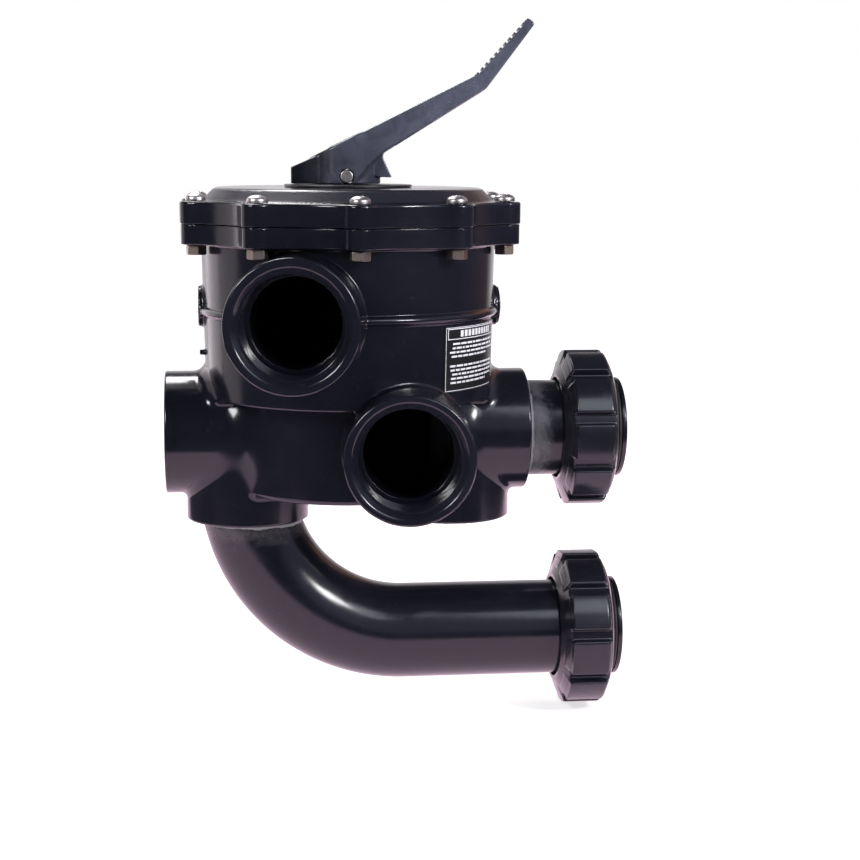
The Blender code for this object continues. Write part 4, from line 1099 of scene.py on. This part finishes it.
# tail, elbow, seals
start = AX + HUB_RIGHT - 28.0 + 1.2
put(lathe("union_tail", union_tail_profile(start), (0, 0, PZ), (1, 0, 0), 160), "root", "tail_plastic", m_tail, "upper_union_tail")
put(elbow("sweep_elbow"), "root", "elbow_plastic", m_elbow, "elbow_pipe")
for name, node, z in (("upper_seal", "upper_union_oring", PZ), ("lower_seal", "lower_union_oring", UZ)):
    put(torus(name, (-4.5, 0, z), (1, 0, 0), 30.75, 1.25), "root", "seal_rubber", m_rubber, node)

# compression spring over the rotor's stem, from the hub of the cover down to the rotor
def spring_coil(name, radius, wire, z0, z1, turns):
    per, sides = 40, 14
    end = 2 * wire + 0.8
    lo, hi = z0 + wire, z1 - wire
    pos, faces = [], []
    steps = per * turns
    for k in range(steps + 1):
        t = k / per
        if t < 1:
            z = lo + end * t
        elif t > turns - 1:
            z = hi - end * (turns - t)
        else:
            z = lo + end + (hi - lo - 2 * end) * (t - 1) / (turns - 2)
        a = 2 * pi * t
        for j in range(sides):
            w = 2 * pi * j / sides
            r = radius + wire * cos(w)
            pos.append((AX + r * cos(a), r * sin(a), z + wire * sin(w)))
    for k in range(steps):
        for j in range(sides):
            m = (j + 1) % sides
            faces.append((k * sides + j, (k + 1) * sides + j, (k + 1) * sides + m, k * sides + m))
    faces.append(tuple(reversed(range(sides)))[::-1])
    faces.append(tuple(range(steps * sides, (steps + 1) * sides))[::-1])
    return mesh_object(name, pos, faces)


coil = spring_coil("lift_spring", 15.5, 1.5, 118.4, 200.0, 5)
put(coil, "indexer", "spring_steel", m_wire, "key_spring")
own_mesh(coil)

# fittings of the side bosses
x0 = AX + BOSS_OUT
prof = smooth_profile([(0.0, -9.0), (8.0, -9.0), (8.0, 0.2), (11.6, 0.2), (11.6, 1.0), (10.2, 1.4), (9.6, 1.0), (7.0, 2.1), (0.0, 2.5)],
                      [0, 0.3, 0.1, 0.2, 0.4, 0.4, 0.4, 2.0, 0], 4)
put(lathe("sight_lens", prof, (x0, 0, BOSS_Z), (1, 0, 0), 96), "root", "sight_glass_plastic", m_glass, "sight_glass")
prof = smooth_profile([(0.0, 4.5), (3.2, 4.5), (3.2, 0.3), (6.0, 0.3), (6.0, 10.0), (0.0, 10.0)], [0, 0.2, 0.4, 0.5, 0.3, 0], 4)
put(lathe("boss_plug", prof, (AX - BOSS_OUT, 0, BOSS_Z), (1, 0, 0), 72), "root", "tail_plastic", m_tail, "gauge_plug")

# cement: a bead at the tail's socket and one under the left downward hub
hub_face = AX + HUB_RIGHT


def tail_ring(t):
    out = Vector((0, cos(t), sin(t)))
    return Vector((hub_face, 0, PZ)) + out * 30.15, out


put(bead("cement_tail", tail_ring, 2.0, 5, -0.5, (1, 0, 0)), "root", "tail_plastic", m_cement)


def elbow_cement():
    xc, zc = AX - DOWN_X + ELBOW_R, UZ + ELBOW_R
    cx = AX - DOWN_X
    rnd = np.random.RandomState(11)
    amp = [(rnd.uniform(-1, 1), rnd.uniform(0, 2 * pi), f) for f in (2, 3, 5, 7, 11, 17, 23, 37, 53)]

    def pipe_r(c, t, z):
        """Radius of the sweep's skin from c at height z."""
        lo, hi = 20.0, 46.0
        for _ in range(30):
            m = (lo + hi) / 2
            x, y = c + m * cos(t), m * sin(t)
            if hypot(hypot(x - xc, z - zc) - ELBOW_R, y) - 30.15 < 0:
                lo = m
            else:
                hi = m
        return lo
    segs, bm, rows = 240, bmesh.new(), []
    for k in range(segs):
        t = 2 * pi * k / segs
        g = sum(a * sin(f * t + ph) / f ** 0.5 for a, ph, f in amp) * 0.3
        drop = 2.6 * max(0.25, 1 + g)
        row = []
        r_top = max(pipe_r(cx + 4.0, t, DOWN_Z) + 0.8, 0)
        c = cx + 4.0
        # where the bead meets the rim of the hub
        ex, ey = c + r_top * cos(t) - cx, r_top * sin(t)
        rim = min(max(hypot(ex, ey) + 0.8 + 0.9 * g, 32.4 + 0.9 * g), 37.2)
        th = atan2(ey, ex)
        q = Vector((cx + rim * cos(th), rim * sin(th), DOWN_Z + 0.5))
        z_low = DOWN_Z - 0.3 - drop
        low_r = pipe_r(c, t, z_low)
        p = Vector((c + (low_r - 0.5) * cos(t), (low_r - 0.5) * sin(t), z_low))
        out = Vector((cos(t), sin(t), 0))
        n = 7
        for j in range(n + 1):
            s = j / n
            w = p.lerp(q, s)
            w += (out * 0.55 + Vector((0, 0, -0.45))) * (sin(pi * s) * 0.7 * (1 + 0.6 * g))
            row.append(bm.verts.new(w))
        row.append(bm.verts.new(Vector((cx + 30.9 * cos(th), 30.9 * sin(th), DOWN_Z + 2.0))))
        row.append(bm.verts.new(Vector((c + (low_r - 3.0) * cos(t), (low_r - 3.0) * sin(t), DOWN_Z + 0.4))))
        rows.append(row)
    m = len(rows[0])
    for k in range(segs):
        a, b = rows[k], rows[(k + 1) % segs]
        for j in range(m):
            n2 = (j + 1) % m
            bm.faces.new((a[j], b[j], b[n2], a[n2]))
    return bm_object("cement_elbow", bm, 75)


put(elbow_cement(), "root", "elbow_plastic", m_cement)

# label: black film with a light border, an outlined header and plain bars
bm = bmesh.new()
A0, A1, Z0, Z1 = 35.0, 75.5, 97.6, 137.4
drum_patch(bm, A0, A1, Z0, Z1, 0.05, 0.45)
put(bm_object("label_sheet", bm, 40), "root", "label_film", m_label, "label")
bm = bmesh.new()
deg = 1 / radians(1) / 89.5                                   # degrees per mm of arc


def frame_strip(a0, a1, z0, z1, w):
    wa = w * deg
    drum_patch(bm, a0, a1, z1 - w, z1, 0.45, 0.11)
    drum_patch(bm, a0, a1, z0, z0 + w, 0.45, 0.11)
    drum_patch(bm, a0, a0 + wa, z0 + w, z1 - w, 0.45, 0.11, 1)
    drum_patch(bm, a1 - wa, a1, z0 + w, z1 - w, 0.45, 0.11, 1)


frame_strip(A0 + 0.6, A1 - 0.6, Z0 + 0.9, Z1 - 0.9, 0.35)
frame_strip(A0 + 1.6, A1 - 1.6, 129.2, 135.8, 0.5)
rnd = np.random.RandomState(4)
a = A0 + 8.6
while a < A1 - 9.0:
    drum_patch(bm, a, a + 1.75, 130.6, 134.4, 0.45, 0.11)
    a += 2.5
for z_top, count in ((127.2, 4), (114.0, 5)):
    for row in range(count):
        z = z_top - row * 2.5
        a = A0 + 2.4 + rnd.uniform(0, 2.0)
        stop = A1 - 2.4 - (rnd.uniform(6, 14) if row == count - 1 else rnd.uniform(0, 2.0))
        while a < stop - 0.8:
            b = min(a + rnd.uniform(1.2, 4.2), stop)
            drum_patch(bm, a, b, z - 1.15, z, 0.45, 0.11)
            a = b + 0.6
put(bm_object("label_bars", bm, 40), "root", "label_film", m_ink)

# carried-over CAD pieces
for node, mat in (("cover_oring", m_rubber), ("rotor_key", m_rotor), ("spider_gasket", m_rubber),
                  ("spring_washer", m_steel), ("stem_oring_upper", m_rubber), ("stem_oring_lower", m_rubber)):
    me = NODES[node].data
    for i in range(max(1, len(me.materials))):
        if i < len(me.materials):
            me.materials[i] = mat
        else:
            me.materials.append(mat)

# ---------------------------------------------------------------- floor, backdrop, light
lo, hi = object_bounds()
floor_z = lo[2] - 0.004


def stage_material(name, base, glow, tone=(1, 1, 1)):
    mat, nt, bsdf, vec = new_material(name)
    n = noise(nt, vec, 3.0, 3.0)
    c = mix_colour(nt, n, tuple(base * t for t in tone), tuple(base * 0.985 * t for t in tone))
    nt.links.new(c, bsdf.inputs["Base Color"])
    bsdf.inputs["Roughness"].default_value = 0.9
    bsdf.inputs["Specular IOR Level"].default_value = 0.1
    bsdf.inputs["Emission Color"].default_value = (*tone, 1)
    bsdf.inputs["Emission Strength"].default_value = glow
    return mat


def sheet(name, x0, x1, y0, y1, z, mat):
    me = bpy.data.meshes.new(name)
    me.from_pydata([(x0, y0, z), (x1, y0, z), (x1, y1, z), (x0, y1, z)], [], [(0, 1, 2, 3)])
    me.materials.append(mat)
    ob = bpy.data.objects.new(name, me)
    bpy.context.scene.collection.objects.link(ob)
    return ob


floor_mat = stage_material("m_floor", 0.86, 0.30, (1.0, 0.995, 0.99))
nt = floor_mat.node_tree
tcn = nt.nodes.new("ShaderNodeTexCoord")
ln = nt.nodes.new("ShaderNodeVectorMath")
ln.operation = "LENGTH"
nt.links.new(tcn.outputs["Object"], ln.inputs[0])
glow = span(nt, ln.outputs["Value"], 0.12, 0.9, 0.62, 1.0, True)
for node in nt.nodes:
    if node.type == "BSDF_PRINCIPLED":
        nt.links.new(glow, node.inputs["Emission Strength"])
floor = sheet("studio_floor", -9, 9, -9, 9, 0, floor_mat)
floor.location = (AX * MM, 0, floor_z)
floor.visible_glossy = False
card = sheet("floor_card", -0.66, 0.50, -0.34, 1.6, floor_z - 0.002, stage_material("m_card", 0.62, 0.42, (1.0, 0.82, 0.94)))
card.visible_camera = False
card.visible_diffuse = True
card.visible_shadow = False

bm = bmesh.new()
bmesh.ops.create_uvsphere(bm, u_segments=48, v_segments=24, radius=9.5)
me = bpy.data.meshes.new("studio_dome")
bm.to_mesh(me)
bm.free()
dome = bpy.data.objects.new("studio_dome", me)
bpy.context.scene.collection.objects.link(dome)
me.materials.append(stage_material("m_dome", 0.0, 1.0))
for flag in ("visible_diffuse", "visible_glossy", "visible_transmission", "visible_shadow", "visible_volume_scatter"):
    setattr(dome, flag, False)


def area(name, at, target, size, power, colour=(1, 1, 1), spread=180):
    li = bpy.data.lights.new(name, "AREA")
    li.shape = "RECTANGLE"
    li.size, li.size_y = size
    li.energy = power
    li.color = colour
    li.spread = radians(spread)
    ob = bpy.data.objects.new(name, li)
    bpy.context.scene.collection.objects.link(ob)
    ob.location = at
    d = Vector(target) - Vector(at)
    ob.rotation_euler = d.to_track_quat("-Z", "Y").to_euler()
    ob.visible_camera = False
    return ob


C = (AX * MM, 0.0, 0.03)
area("sheet_left", (-0.62, 0.38, 0.21), (-0.26, -0.02, 0.12), (0.30, 0.50), 0.70, (1.0, 0.90, 0.95))
area("sheet_left_edge", (-0.70, 0.12, 0.18), (-0.26, -0.02, 0.12), (0.22, 0.46), 0.24, (1.0, 0.90, 0.95))
area("soft_top", (-0.54, 0.30, 1.35), (-0.24, 0.0, 0.1), (0.74, 0.60), 1.2, (1.0, 0.98, 1.0))
area("lamp_back", (-0.38, 0.50, 0.90), (-0.19, 0.0, 0.21), (0.30, 0.34), 5.2, (1.0, 0.97, 1.0))
area("key_right", (0.60, -0.90, 0.62), (-0.18, -0.03, -0.03), (0.26, 0.26), 8.5, (1.0, 0.99, 1.0))
area("halo_right", (0.40, -1.02, 0.95), (-0.18, -0.03, -0.03), (0.55, 0.5), 2.6, (0.86, 0.90, 1.0))
area("key_left", (-0.98, -0.68, 0.64), C, (0.32, 0.32), 6.4, (0.97, 0.98, 1.0))

world = bpy.data.worlds.new("studio")
bpy.context.scene.world = world
world.use_nodes = True
wn = world.node_tree
wn.nodes.clear()
wo = wn.nodes.new("ShaderNodeOutputWorld")
bg = wn.nodes.new("ShaderNodeBackground")
wn.links.new(bg.outputs[0], wo.inputs[0])
tc = wn.nodes.new("ShaderNodeTexCoord")
sp = wn.nodes.new("ShaderNodeSeparateXYZ")
wn.links.new(tc.outputs["Generated"], sp.inputs[0])
# white wall straight behind, dull warm wall behind on the right, dim bluish window in front on the right
wall = span(wn, sp.outputs[1], 0.70, 0.90, 0.0, 1.0, True)
side = mix_colour(wn, span(wn, sp.outputs[0], -0.10, 0.35, 0.0, 1.0, True), (0.045, 0.04, 0.045), (0.13, 0.085, 0.09))
back = span(wn, sp.outputs[1], 0.02, 0.55, 0.0, 1.0, True)
low = span(wn, sp.outputs[2], 0.30, 0.62, 1.0, 0.0, True)
behind = mix_colour(wn, wall, side, (1.0, 0.96, 1.0))
behind = mix_colour(wn, low, (0.05, 0.05, 0.06), behind)
warm = math2(wn, "MULTIPLY", span(wn, sp.outputs[0], 0.24, 0.38, 0.0, 1.0, True), span(wn, sp.outputs[2], 0.18, 0.28, 0.0, 1.0, True))
warm = math2(wn, "MULTIPLY", warm, span(wn, sp.outputs[2], 0.45, 0.60, 1.0, 0.0, True))
behind = mix_colour(wn, warm, behind, (0.55, 0.32, 0.25))
rise = math2(wn, "MULTIPLY", span(wn, sp.outputs[2], -0.02, 0.20, 0.0, 1.0, True), span(wn, sp.outputs[2], 0.58, 0.90, 1.0, 0.12, True))
rise = math2(wn, "MULTIPLY", rise, span(wn, sp.outputs[0], 0.01, 0.15, 0.0, 1.0, True))
front = mix_colour(wn, rise, (0.014, 0.014, 0.020), (0.38, 0.39, 0.54))
col = mix_colour(wn, back, front, behind)
wn.links.new(col, bg.inputs["Color"])
bg.inputs["Strength"].default_value = 1.0

# ---------------------------------------------------------------- camera
cam = bpy.data.cameras.new("view")
cam.lens = 73.99
cam.sensor_width = 36.0
cam.clip_start = 0.05
cam.clip_end = 60
co = bpy.data.objects.new("view", cam)
bpy.context.scene.collection.objects.link(co)
right = Vector((0.99335269, -0.11499287, 0.00520325))
upv = Vector((0.01269688, 0.15438286, 0.98792951))
fwd = Vector((0.11440814, 0.98129637, -0.15481668))
m = Matrix(((right.x, upv.x, -fwd.x, -0.24916), (right.y, upv.y, -fwd.y, -1.10121), (right.z, upv.z, -fwd.z, 0.23822), (0, 0, 0, 1)))
co.matrix_world = m
bpy.context.scene.camera = co
bpy.context.scene.view_settings.view_transform = "Standard"
